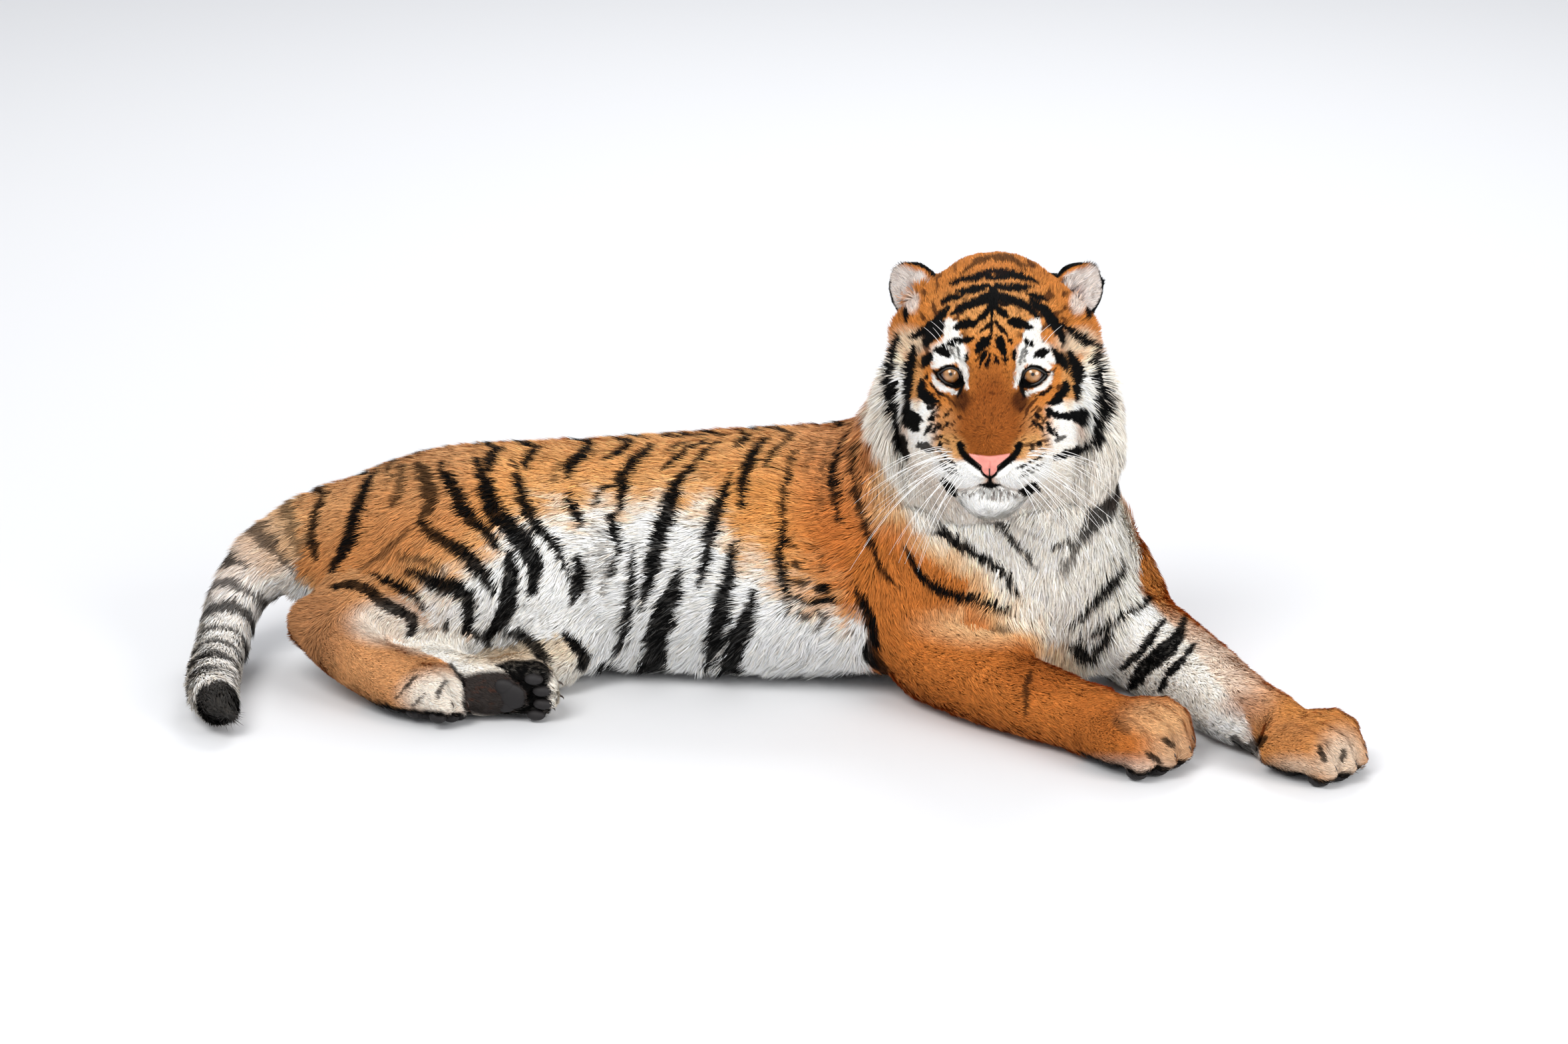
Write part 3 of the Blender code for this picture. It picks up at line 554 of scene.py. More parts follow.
TRUNK_LINE = np.array([
    # x, y, height of the middle of the trunk
    (-0.632, 0.202, 0.140), (-0.477, 0.182, 0.157), (-0.277, 0.172, 0.166),
    (-0.157, 0.167, 0.169), (-0.027, 0.157, 0.174), (0.103, 0.152, 0.179),
    (0.223, 0.137, 0.184), (0.323, 0.102, 0.192), (0.393, 0.037, 0.198)])
TAIL_LINE = np.array([
    (-0.577, 0.212, 0.200), (-0.645, 0.232, 0.186), (-0.705, 0.232, 0.158),
    (-0.753, 0.212, 0.118), (-0.778, 0.162, 0.074), (-0.787, 0.087, 0.046),
    (-0.790, -0.003, 0.042), (-0.783, -0.088, 0.040), (-0.765, -0.138, 0.037)])
MM_PER_DEGREE = 3.05  # round the trunk
RUFF_EDGE = [  # metres up the head, how far the ruff reaches over the right shoulder
    (-0.20, 0.105), (-0.14, 0.130), (-0.086, 0.165), (-0.032, 0.190), (0.03, 0.230)]

# Trunk stripes: x along the body in centimetres, degrees round it from the spine.
TRUNK_STRIPES = [
    (3, 9, 3, 1, -5.2, 34, -6.0, 44, -7.1, 52, -7.8, 60, -8.2, 68, -8.6, 75, -9.8, 90),
    (3, 4, 4, 0.9, -6.4, 3, -8.2, 12, -9.6, 22, -11, 28),
    (5, 10, 3, 1, -10.7, 27, -13, 38, -13.7, 48, -15, 60, -15.8, 70, -16.3, 79, -17.2, 91,
     -18.1, 103),
    (3, 5, 3, 0.9, -8.5, 3, -10.7, 11, -12.9, 20, -14.7, 28),
    (3, 5, 3, 0.9, -11.3, 4, -12.9, 8, -14, 14),
    (4, 8, 3, 0.95, -16.5, 5, -17.6, 14, -19.3, 22, -20.7, 31, -20.4, 39, -20.9, 48, -21.4, 53),
    (7, 7, 4, 1, -22.2, 54, -22, 60, -21.4, 66, -20.9, 71),
    (3, 6, 3, 0.9, -18.2, -2, -20, 4, -21.6, 14, -23.1, 18),
    (3, 4, 3, 0.8, -21.1, 34, -23.1, 37, -24.2, 42, -24.4, 46),
    (5, 8, 3, 0.95, -25.3, 1, -26.6, 11, -27.9, 21, -28.2, 30),
    (3, 4, 3, 0.6, -29.9, 20, -30.5, 27, -30.6, 32),
    (3, 6, 4, 0.95, -28.4, 40, -27.9, 47, -27, 53, -26.4, 57),
    (3, 7, 3, 0.95, -36.3, 17, -35.8, 28, -34.7, 42, -34.1, 50, -32.8, 58, -31, 63, -29.7, 70,
     -28.7, 80, -28.2, 86),
    (5, 7, 4, 0.8, -32.6, 0, -33.5, 7, -34.3, 17, -34.6, 23),
    (4, 11, 4, 1, -41.9, 11, -41, 23, -40, 34, -39.5, 43, -38.7, 51, -36.9, 57, -35, 64,
     -33.8, 71, -32.9, 77, -33, 84, -33.8, 94, -35, 101),
    (7, 7, 3, 0.85, -38.1, 0, -39.4, 7, -39.5, 16, -39.4, 25),
    (4, 8, 3, 0.85, -46.6, 14, -46.2, 24, -45.3, 32, -44, 41, -43.7, 47, -42.2, 54, -40.6, 58,
     -39.4, 62, -38.2, 67, -37.1, 71),
    (5, 12, 7, 1, -36.8, 71, -36.2, 80, -36.5, 88, -36.9, 96, -38, 103, -39.7, 108),
    (5, 9, 5, 0.7, -50.5, 8, -49.5, 17, -48.5, 31, -47.9, 40, -48.3, 49, -49.5, 52),
    (5, 7, 4, 0.65, -53.1, -2, -52.4, 10, -52.4, 29, -53.7, 42),
    (4, 6, 3, 0.6, -54.7, -5, -54.4, 13, -54.2, 22),
    (5, 9, 4, 0.8, -56.6, 0, -57.6, 15, -58.3, 32, -59.3, 45, -60, 57, -61, 67, -62.2, 73,
     -62.4, 85),
    (4, 7, 3, 0.75, -63, -14, -64.7, 5, -65.7, 23, -66, 38, -65.4, 55, -65, 68),
    (4, 7, 3, 0.5, -50.8, 57, -52.4, 62, -54.7, 68, -56.6, 73, -58.2, 76),
    (5, 9, 3, 0.75, -49.5, 54, -47.6, 61, -45.1, 66, -43.2, 69, -41.6, 74, -40, 79, -38.8, 87),
    (5, 10, 3, 0.95, -45, 66, -43.2, 70, -41.6, 75, -40, 80, -38.8, 88),
    (3, 5, 3, 0.6, -53, 70, -51.4, 71, -49.5, 72, -47, 75, -45.1, 79),
    (4, 11, 6, 1, -51, 77, -48.9, 80, -46.3, 84, -43.8, 86, -42.5, 90, -42.2, 98, -43, 107),
    (3, 7, 3, 0.95, -56.6, 78, -54.7, 82, -52.1, 85, -49.8, 90, -48.5, 96),
    (4, 10, 3, 1, -27.1, 73, -26.5, 83, -27.1, 92, -27.8, 100),
    (2, 4, 2, 0.5, -24.5, 58, -24.1, 70, -24.7, 86),
    (2, 3, 2, 0.5, -23.2, 60, -23.4, 72, -23.1, 95),
    (2, 3, 2, 0.45, -25.7, 70, -25.2, 84, -25.9, 99),
    (3, 5, 3, 0.85, -21.5, 73, -21.9, 79, -22.4, 85),
    (2, 3, 2, 0.6, -22.4, 76, -23, 84, -23.7, 96),
    (2, 6, 4, 0.95, -19, 64, -19.2, 77, -19.4, 89, -19.8, 103, -20.2, 114, -20.9, 127, -21.8, 135),
    (8, 12, 10, 1, -23.8, 140, -22, 152),
    (3, 15, 22, 1, -12.4, 78, -12.9, 86, -13.4, 93, -14.3, 100, -15, 108, -15.8, 119, -16.5, 150),
    (4, 12, 5, 1, -4.5, 68, -5.1, 79, -5.8, 88, -6.4, 96, -6.7, 104, -7.1, 113, -8, 128,
     -8.6, 145),
    (3, 13, 18, 1, -1.7, 90, -2.4, 99, -3.1, 107, -4.2, 116, -4.9, 128, -5.3, 148),
    (3, 4, 4, 0.75, 3.8, 21, 2.9, 38, 2.3, 47, 2.1, 57, 2.2, 64),
    (4, 6, 2, 1, 2.2, 58, 2.3, 67, 1.8, 75, 2.1, 83, 2.7, 92, 3, 103),
    (3, 5, 3, 0.75, 5.4, -6, 3.8, 2, 2.3, 13, 0.9, 20, 0.1, 30),
    (4, 7, 3, 0.9, -0.2, 5, -1.7, 17, -2.8, 30, -3.5, 42, -3.7, 52),
    (3, 4, 3, 0.8, -1.7, -4, -3.5, 5, -4.6, 16),
    (3, 4, 3, 0.5, 8.8, 10, 7.9, 23, 7.4, 36, 7.4, 45, 7.6, 53),
    (3, 4, 3, 0.5, 7, 9, 6, 23, 5.6, 33),
    (3, 5, 3, 0.8, 11.4, 4, 10, 21, 9.5, 33, 9.3, 41, 9.6, 50, 10.3, 60),
    (3, 4, 2, 0.75, 12.2, 24, 12, 36, 12.4, 45, 13.3, 53, 14, 61, 14.8, 69, 15.8, 79, 17.7, 88),
    (3, 4, 3, 0.5, 7.6, 75, 7.9, 82),
    (3, 6, 3, 0.85, 6.9, 89, 8.8, 90),
    (2, 5, 3, 0.95, 6.1, 97, 8.4, 95, 10, 96),
    (3, 6, 4, 0.65, 7, 101, 8.3, 105, 7, 111),
    (3, 7, 5, 0.85, 12.6, 92, 14, 100, 14.8, 109, 15.5, 119),
    (5, 9, 6, 0.8, 14, 121, 15.5, 137),
]

# Leg, haunch and chest stripes on the camera's side, in a plane tipped back towards the
# spine: centimetres along the body, and centimetres up that plane.
TIP_BACK = 0.325
LEG_STRIPES = [
    (4, 9, 6, 0.95, -62.2, 17.2, -59, 17.6, -56.8, 16.4, -54.2, 14.4, -51.2, 13, -50.2, 12,
     -51.1, 10.1),
    (3, 4, 3, 0.9, -45.7, 11.9, -45.5, 10.8),
    (4, 6, 3, 0.95, -42.4, 10.4, -40.2, 9.4, -39, 8.3),
    (4, 8, 4, 0.95, -37.3, 10.3, -34.7, 10.1, -32.9, 8.2, -31.1, 6),
    (4, 9, 6, 1, -29, 10.1, -26.8, 8.2, -26, 6.7, -26.5, 5),
    (2, 3, 2, 0.6, -36.6, 9, -35.2, 7.8),
    (2, 3, 2, 0.6, -48.7, 10.4, -47.1, 10.8),
    # on the right hind foot: thin dark lines of painted shade in the clefts between the toes
    (1, 2, 1, 0.8, -52.6, 0.6, -50.6, 2.6), (1, 2, 1, 0.8, -50.0, -0.4, -48.0, 1.6),
    (1.5, 2.6, 1.5, 0.85, -46.6, 0.6, -46.2, 2.2, -45.0, 3.6),
    (1.5, 2.6, 1.5, 0.85, -51.6, 1.7, -50.2, 3.3, -49.4, 4.2),
    (1.5, 3, 1.5, 0.9, -42.8, -1.1, -42.5, 1.0, -43.1, 3.9, -45.0, 5.8),
    # the shoulder's rows of short dark dashes
    (2, 4, 2, 0.9, 3.2, 24.5, 3.6, 23.0), (2, 4, 2, 0.9, 4.0, 21.2, 4.4, 19.8),
    (2, 5, 2, 0.9, 3.4, 18.2, 5.6, 17.6),
    (2, 5, 2, 0.95, 3.6, 15.8, 6.0, 14.8), (2, 5, 2, 0.9, 4.2, 13.6, 6.2, 12.4),
    (1.5, 3, 1.5, 0.8, 6.6, 23.8, 7.0, 22.4),
    (3, 7, 3, 1, 20, 28.7, 22, 27, 25, 25, 27.8, 23.4, 30, 22, 32, 20.4, 33.8, 18.7, 35.2, 16.3),
    (2, 7, 4, 1, 19.2, 23.4, 20.7, 20.6, 22.5, 18, 24.7, 16.6, 27.7, 15.7, 30.8, 14.7,
     34.1, 13.8),
    (7, 4, 2, 0.95, 30.3, 27.6, 33, 26.2, 34.7, 24.2, 36.4, 22, 38, 20.3),
    (2, 3, 2, 0.6, 33.5, 27.6, 36, 26, 38, 24.8),
    (7, 8, 3, 0.9, 50.3, 32.7, 49.5, 30, 47.5, 27.2, 45.7, 25.3, 43.4, 23.9, 40.2, 23.3),
    (4, 7, 3, 0.75, 43.6, 23.5, 42.7, 21.5, 41.1, 19.2),
    (4, 7, 3, 1, 53.2, 24.8, 51.6, 21.5, 49.8, 18.7, 47.1, 15.8, 44.8, 13, 43, 11.3),
    (3, 5, 3, 1, 56.3, 18.2, 54.8, 15.8, 52.2, 14, 49.4, 12.3, 45.7, 10.1, 43, 8.8),
    (3, 6, 3, 1, 56.2, 12.5, 54.1, 9.7, 52.5, 7.3, 50.3, 5),
    (3, 10, 6, 1, 59.2, 12.8, 58, 10.1, 56.4, 8.3, 54.8, 6.9, 53, 5, 51.6, 2.3),
    (3, 5, 3, 1, 60, 8.8, 58, 6.4, 56.2, 4.6, 55.2, 1.9),
    (5, 8, 5, 1, 48.6, 10.3, 47.2, 8.3, 45.7, 5.9),
    (6, 9, 6, 1, 44.3, 8.5, 44.8, 6.2),
    (3, 7, 4, 0.9, 14.3, 9.7, 15, 6.9, 16.8, 4.1),
    (3, 4, 2, 0.75, 12, 32.2, 13.2, 29, 14.6, 25.3, 15.2, 22, 16.3, 19.2, 19, 16.8),
    (3, 6, 4, 0.8, 12.2, 17.8, 13.3, 14.5, 14.6, 11, 15, 7.8),
    (2, 4, 3, 0.8, 36.7, 5, 35.8, 2.8, 36, -1.2),
    (2, 3, 2, 0.7, 31.2, 11, 33.8, 11.3),
    (4, 6, 3, 0.5, 48, -1.9, 49.6, -3.4),
    (3, 4, 2, 0.9, 54.4, -4.4, 56, -5.6),
    (3, 4, 2, 0.9, 52, -6.4, 54.2, -8),
    (5, 8, 4, 0.85, 65, -4.8, 66.5, -7, 68.4, -4.4),
    (3, 4, 3, 0.9, 75.7, -5.2, 76.2, -7.4),
    (3, 4, 3, 0.85, 79.2, -5.8, 79, -7.6),
]

# Tail rings: (distance from the root, half width, darkness) in millimetres.
TAIL_RINGS = [(105, 10, 0.7), (152, 11, 0.85), (206, 9, 1), (246, 7, 0.9), (300, 12, 1),
              (352, 11, 0.95), (401, 9, 0.95), (452, 10, 0.9), (506, 10, 0.9), (600, 46, 1.08)]

# Head stripes, in millimetres across the face (the animal's left counts up) and up it.
HEAD_STRIPES = [
    # crown and forehead
    (2, 4, 2, 0.7, -46, 168, -22, 186, 0, 191, 25, 189, 46, 173),
    (2, 4, 2, 0.9, -22, 168, 0, 171, 20, 170, 42, 166),
    (2, 4, 3, 0.95, -62, 154, -38, 161, -12, 164, 0, 161),
    (3, 4, 2, 0.95, 0, 161, 26, 166, 49, 160, 61, 154),
    (2, 5, 3, 0.95, -51, 144, -36, 145, -21, 147, -5, 151),
    (3, 5, 2, 0.95, 5, 151, 26, 148, 40, 148, 54, 149),
    (2, 4, 2, 0.95, -73, 128, -59, 134, -43, 137), (2, 4, 2, 0.95, 46, 140, 58, 137, 73, 131),
    (6, 6, 2, 1, -2, 138, -19, 130, -37, 124, -57, 111),
    (6, 5.5, 2, 1, 2, 138, 20, 134, 38, 127, 55, 117, 64, 106),
    (6, 6, 4, 1, 0, 143, 0, 121), (2, 2, 1.5, 1, 0, 125, -1, 96, -1, 84),
    (4, 4, 2, 1, -3, 121, -13, 110, -23, 103), (4, 4, 2, 1, 3, 122, 12, 115, 22, 110),
    (2, 3, 2, 0.9, 6, 128, 22, 124), (2, 3, 1.5, 0.9, -17, 89, -6, 96, 0, 103),
    (2, 3, 1.5, 0.9, 4, 102, 12, 92, 22, 83), (3, 6, 3, 1, -50, 94, -36, 98, -22, 100),
    (3, 6, 3, 1, 24, 103, 38, 99, 55, 94),
    (2.5, 7, 3.5, 1, -3, 80, -12, 71, -20, 60), (1.2, 3.2, 1, 1, -7, 62, -13, 51, -17, 40),
    (1, 2.6, 1, 0.9, -3, 57, -5, 48, -7, 39), (2.5, 6, 3.5, 1, 8, 82, 13, 71, 18, 58),
    (1.2, 2.8, 1, 1, 17, 58, 19, 50, 20, 43), (1, 2.6, 1, 0.9, 4, 57, 8, 49, 10, 42),
    (1, 2.2, 1, 1, 21, 81, 29, 72), (0.8, 1.5, 0.8, 0.8, -14, 58, -22, 46),
    (3, 4, 2, 1, -43, 74, -26, 78), (1.5, 3, 1.5, 1, -34, 59, -36, 46), (1.5, 2.8, 1, 1, 30, 62, 32, 47),
    # over and beside the eyes
    (4, 7, 3, 1, -77, 62, -66, 61, -60, 55), (3, 4, 2, 1, -59, 71, -46, 76),
    (3, 5.5, 3, 1, 61, 54, 70, 59, 76, 60), (2, 4, 2, 1, 46, 76, 57, 70),
    (1, 2, 1, 0.7, 43, 64, 39, 42), (1, 2, 1, 0.6, -52, 68, -56, 58),
    (3, 8, 5, 1, -70, 101, -75, 89, -86, 81, -94, 71), (3, 6, 3, 1, -63, 120, -82, 99, -100, 86, -116, 78),
    (3, 7, 3, 1, 53, 131, 71, 117, 83, 102, 92, 88, 98, 74),
    (3, 5, 3, 1, 97, 97, 116, 82, 131, 71, 146, 62),
    (3, 7, 3, 1, -86, 56, -93, 46, -98, 38), (3, 6, 1.5, 1, 86, 62, 94, 51, 101, 40, 104, 32),
    (3, 7, 2, 1, -99, 17, -99, 4, -89, -6, -73, -8), (2, 3, 2, 1, -91, 28, -94, 23),
    (3, 6, 2, 1, 101, 17, 102, 6, 91, -6, 79, -11), (1.2, 2.2, 1.2, 0.9, 85, 12, 74, 4, 62, -2),
    (1.2, 2.4, 1.2, 0.9, -86, 16, -76, 5, -62, -2),
    (0.8, 1.4, 0.8, 0.8, -58, 69, -50, 47), (0.8, 1.4, 0.8, 0.8, -50, 72, -44, 50),
    (0.8, 1.4, 0.8, 0.8, 47, 72, 46, 48),
    # cheeks
    (4, 8, 4, 1, -113, 63, -119, 38, -121, 14, -119, -10), (3, 5, 4, 0.95, -119, -8, -121, -26),
    (3, 8, 3, 1, 107, 57, 115, 38, 120, 18, 118, -6),
    (4, 7, 4, 1, -136, 78, -138, 68, -146, 47, -150, 22, -148, -6, -140, -34, -131, -66),
    (5, 8, 5, 1, 143, 52, 150, 27, 157, -2, 155, -26, 147, -55, 144, -68),
    (6, 12, 5, 1, -122, -24, -113, -35, -106, -46), (3, 5, 3, 0.9, -106, -30, -98, -36),
    (2, 3, 2, 0.9, -92, -56, -88, -47, -82, -40),
    (3, 4.5, 5, 1, 78, -20, 88, -27, 102, -29, 120, -30), (6, 9, 6, 1, 115, -28, 125, -29, 126, -37),
    (5, 9, 5, 0.9, -135, -52, -128, -75, -122, -86), (4, 6, 3, 0.85, -100, -70, -82, -75),
    (3, 6, 4, 0.95, 88, -86, 106, -82, 128, -77, 147, -68), (2, 3.5, 2, 0.8, 88, -62, 102, -57),
    (2, 3, 2, 0.9, -88, -18, -79, -14), (2, 4, 2, 0.95, -86, -34, -79, -30),
    (1, 2, 1, 0.9, -77, -22, -70, -14), (1, 2, 1, 0.9, -76, -45, -69, -40),
    (1, 2.5, 1, 0.95, 75, -20, 81, -32), (2, 3.5, 2, 0.95, 78, -38, 84, -52),
    (1, 2.5, 1, 0.9, 64, -37, 73, -50), (1, 2, 1, 0.8, 68, -27, 74, -36),
    (3, 4, 2, 1, -125, 114, -124, 100), (3, 4, 2, 1, 132, 118, 133, 104),
    (1.5, 2.6, 1.5, 0.95, -84, -26, -78, -22), (1.5, 2.6, 1.5, 0.95, -82, -50, -76, -44),
    (1.2, 2, 1.2, 0.9, -66, -30, -60, -25), (1.2, 2, 1.2, 0.9, -64, -42, -58, -38),
    (1.2, 2, 1.2, 0.9, 62, -24, 67, -31),
    (1.2, 2, 1.2, 0.9, 58, -34, 63, -42), (1.5, 2.6, 1.5, 0.95, 88, -48, 92, -58),
    (1.2, 2, 1.2, 0.9, -72, -58, -66, -54),
    # whisker beds, lips and chin
    (2, 4, 2, 0.95, -70, -65, -67, -70), (2, 4, 2, 0.95, 66, -64, 69, -68), (2, 3, 2, 0.8, 58, -68, 60, -72),
    (1.2, 2.2, 1.2, 0.9, -75, -73, -65, -80, -56, -87, -45, -95),
    (0.8, 1.6, 0.8, 0.8, -73, -83, -60, -95, -42, -103), (0.8, 1.5, 0.8, 0.7, -70, -92, -56, -103, -40, -109),
    (1.2, 2.2, 1.2, 0.9, 39, -98, 50, -93, 60, -88, 75, -79),
    (0.8, 1.6, 0.8, 0.8, 44, -105, 60, -99, 74, -91), (0.8, 1.5, 0.8, 0.7, 40, -111, 56, -106, 70, -99),
    (4, 7, 3, 0.95, -64, -118, -56, -126, -50, -137), (4, 7, 3, 0.95, 44, -133, 54, -130, 64, -120),
    (2, 3, 2, 0.9, 62, -126, 66, -136), (2, 3, 2, 0.85, -60, -132, -62, -140),
    (2, 4, 2, 0.4, -14, -131, 0, -130, 14, -131), (0.8, 1.4, 0.8, 0.6, -24, -131, -27, -140),
    (0.8, 1.4, 0.8, 0.6, -12, -134, -14, -143), (0.8, 1.4, 0.8, 0.6, -2, -134, -3, -144),
    (0.8, 1.4, 0.8, 0.6, 9, -134, 10, -143), (0.8, 1.4, 0.8, 0.6, 21, -132, 24, -141),
    (0.8, 1.4, 0.8, 0.6, -36, -133, -41, -141), (0.8, 1.4, 0.8, 0.6, 33, -134, 38, -142),
    (5, 10, 6, 0.85, 188, -108, 184, -134, 168, -156, 146, -176, 122, -200),
]
EYE_LINES = [  # the black rims and tear lines, alike on both sides: across, up
    (1.8, 2.2, 1.8, 1, 40, 15, 45, 34, 55, 41, 65, 39.5, 73, 35, 78, 28),
    (1.8, 2.4, 2, 1, 40, 13, 53, 11.5, 66, 16, 77, 27),
    (3, 2.6, 1.2, 1, 40, 17, 42, 8, 47, -2), (2, 2, 1, 1, 75, 31, 83, 33),
    (5, 5, 3.6, 1, 41, -66, 38, -75, 31, -84, 22, -91, 13, -99), (3, 3, 1, 1, 41, -66, 34, -68),
    (3, 2.8, 1.6, 1, 12, -99, 8, -106, 2, -112), (2, 3, 6, 1, 0, -110, 0, -120),
]
EYE_WHITES = [
    (1.5, 3.8, 2.5, 1, 83, 29, 79.5, 19, 71, 11, 60, 6.5, 49, 3),
    (2.5, 7, 6, 0.95, 34, 12, 39, 36, 43, 58, 50, 80, 53, 97),
    (3, 6, 3, 0.95, 56, 46, 70, 45, 82, 39),
    (5, 9, 3, 0.95, 46, 50, 60, 52, 76, 52, 86, 47), (4, 10, 8, 0.85, 64, 64, 57, 80, 60, 98),
]
FACE_PATCHES = [  # alike on both sides, in millimetres across and up
    (GREY_WHITE, 1.0, 178, -30, 52, 110, 0.25), (GREY_WHITE, 1.0, 120, -110, 74, 52, 0.3),
    (CREAM, 0.9, 137, 10, 16, 52, 0.3), (WHITE, 0.9, 135, -8, 11, 44, 0.4),
    (WHITE, 1.0, 104, -22, 26, 15, 0.35), (WHITE, 0.9, 98, -50, 24, 22, 0.4),
    (TAN, 0.6, 106, 20, 10, 40, 0.4), (CREAM, 0.7, 116, 72, 26, 18, 0.5),
    (srgb(198, 146, 98), 0.6, 66, -44, 22, 26, 0.5), (BRIDGE_RUST, 0.85, 0, -38, 50, 62, 0.35),
    (BRIDGE_RUST, 0.6, 0, 26, 26, 26, 0.5), (FACE_DARK, 0.85, 41, -6, 13, 15, 0.5),
    (WHITE, 1.0, 44, -108, 40, 21, 0.22), (WHITE, 1.0, 0, -150, 44, 26, 0.25),
    (WHITE, 0.95, 66, -92, 16, 22, 0.4), (TAN, 0.75, 57, -71, 22, 18, 0.4),
    (GREY_WHITE, 0.9, 70, -148, 44, 22, 0.4), (TAN, 0.5, 0, 120, 70, 40, 0.5),
    (WHITE, 0.9, 60, 60, 25, 15, 0.3), (srgb(224, 210, 200), 0.9, 118, 127, 12, 16, 0.35),
    (srgb(238, 232, 222), 1.0, 0, -226, 240, 90, 0.10), (GREY_WHITE, 1.0, 100, -150, 60, 40, 0.4),
    (WHITE, 1.0, 0, -144, 50, 24, 0.4),
]


def oval(chart, x, y, w, h):
    """How far out each point lies from the middle of an oval: 1 on its edge."""
    return np.hypot((chart[:, 0] - x) / w, (chart[:, 1] - y) / h)


def inked(colour, dark, ink):
    """The colour drawn towards the ink's, wholly where dark is 1."""
    return colour + dark[:, None] * (ink - colour)


def patched(colour, chart, patches):
    """Soft ovals of colour: (colour, strength, centre x, y, half width, half height, softness)."""
    for tint, strength, x, y, w, h, softness in patches:
        share = strength * smooth_step(1 + softness, 1 - softness, oval(chart, x, y, w, h))
        colour = inked(colour, share, tint)
    return colour


def head_colour(points):
    q = in_head(points)
    wobble = jitter(points, 0.007, (1, 2))
    face = q[:, [0, 2]] * 1000
    side = np.abs(face[:, 0])
    paired = np.stack([side, face[:, 1]], 1)
    colour = np.tile(FACE_ORANGE, (len(q), 1))
    colour = patched(colour, paired, FACE_PATCHES)
    speckle = smooth_step(0.62, 0.80, lattice_noise(points, 0.0022, 14))
    top = smooth_step(0.9, 0.2, side / 60) * smooth_step(-80, -40, face[:, 1]) + (face[:, 1] > 100)
    colour = inked(colour, speckle * np.clip(top, 0, 1) * 0.6, FACE_DARK)
    # Short dark hairs fan out from the nose over the cheeks and brow.
    turn, reach = np.arctan2(face[:, 0], face[:, 1] + 88), np.hypot(face[:, 0], face[:, 1] + 88)
    fan = np.stack([turn * 34, reach / 8, side * 0], 1)
    flecks = smooth_step(0.60, 0.76, lattice_noise(fan, 1.0, 17))
    flecks *= smooth_step(28, 44, side) * smooth_step(118, 96, side)
    flecks *= smooth_step(-84, -70, face[:, 1]) * smooth_step(0.03, 0.0, q[:, 1])
    colour = inked(colour, flecks * smooth_step(0.8, 0.5, colour[:, 1]) * 0.85, FACE_DARK)
    low_back = smooth_step(0.02, 0.09, q[:, 1]) * smooth_step(-0.05, 0.02, q[:, 2])
    colour = inked(colour, low_back, ORANGE)
    hairs = jitter(points * [1, 1, 0.35], 0.0018, (15, 16))
    jagged = face + wobble * 4.0 + hairs * 4.0
    front = np.maximum(smooth_step(0.075, 0.045, q[:, 1]),
                       smooth_step(0.125, 0.095, q[:, 1]) * smooth_step(0.10, 0.05, q[:, 2]))
    colour = inked(colour, front * stroked(mirrored(jagged), EYE_WHITES, 2.0), WHITE)
    bold = [(a * 1.25, b * 1.2, c * 1.25, min(1, d * 1.1), *line) for a, b, c, d, *line in HEAD_STRIPES]
    colour = inked(colour, front * stroked(jagged, bold, 1.0), BLACK_HAIR)
    under_lip = smooth_step(1.2, 0.6, oval(face, 0, -136, 44, 11)) * (q[:, 1] < -0.09)
    under_lip *= smooth_step(0.50, 0.68, lattice_noise(points * [1, 1, 0.35], 0.0028, 22))
    colour = inked(colour, under_lip * 0.75, FACE_DARK)
    colour = inked(colour, front * stroked(paired, EYE_LINES, 1.0), BLACK_HAIR)
    eye = smooth_step(0.0045, 0.0020, lid_opening(q)) * (q[:, 1] < -0.05)
    colour = inked(colour, eye, BLACK_HAIR)
    lips = smooth_step(2.6, 1.2, line_distance(paired, np.array(MOUTH) * 1000)) * (q[:, 1] < -0.08)
    lips *= 0.25 + 0.75 * np.maximum(smooth_step(20, 12, side), smooth_step(44, 52, side))
    centre = smooth_step(2.4, 1.0, line_distance(paired, [(0, -108), (0, -123)])) * (q[:, 1] < -0.12)
    gape = smooth_step(1.2, 0.8, oval(face, 0, -123, 13, 4.5))
    colour = inked(colour, np.maximum(np.maximum(lips, centre), gape * (q[:, 1] < -0.1)), BLACK_HAIR)
    crown = (1 - front) * smooth_step(0.0, 0.10, q[:, 2])
    bars = smooth_step(0.55, 0.80, np.sin(q[:, 1] * 165 + 2.2 * np.abs(q[:, 0]) * 20))
    return inked(colour, crown * bars * 0.8, BLACK_HAIR)


EAR_GREY, EAR_SKIN, EAR_SHADE = srgb(214, 203, 196), srgb(150, 122, 116), srgb(140, 120, 114)


def in_ear(points):
    """Places in an ear's own frame, both ears alike: across, through and up the shell."""
    return (mirrored(in_head(points)) - np.array(EAR_AT)) @ turned(EAR_TURN)


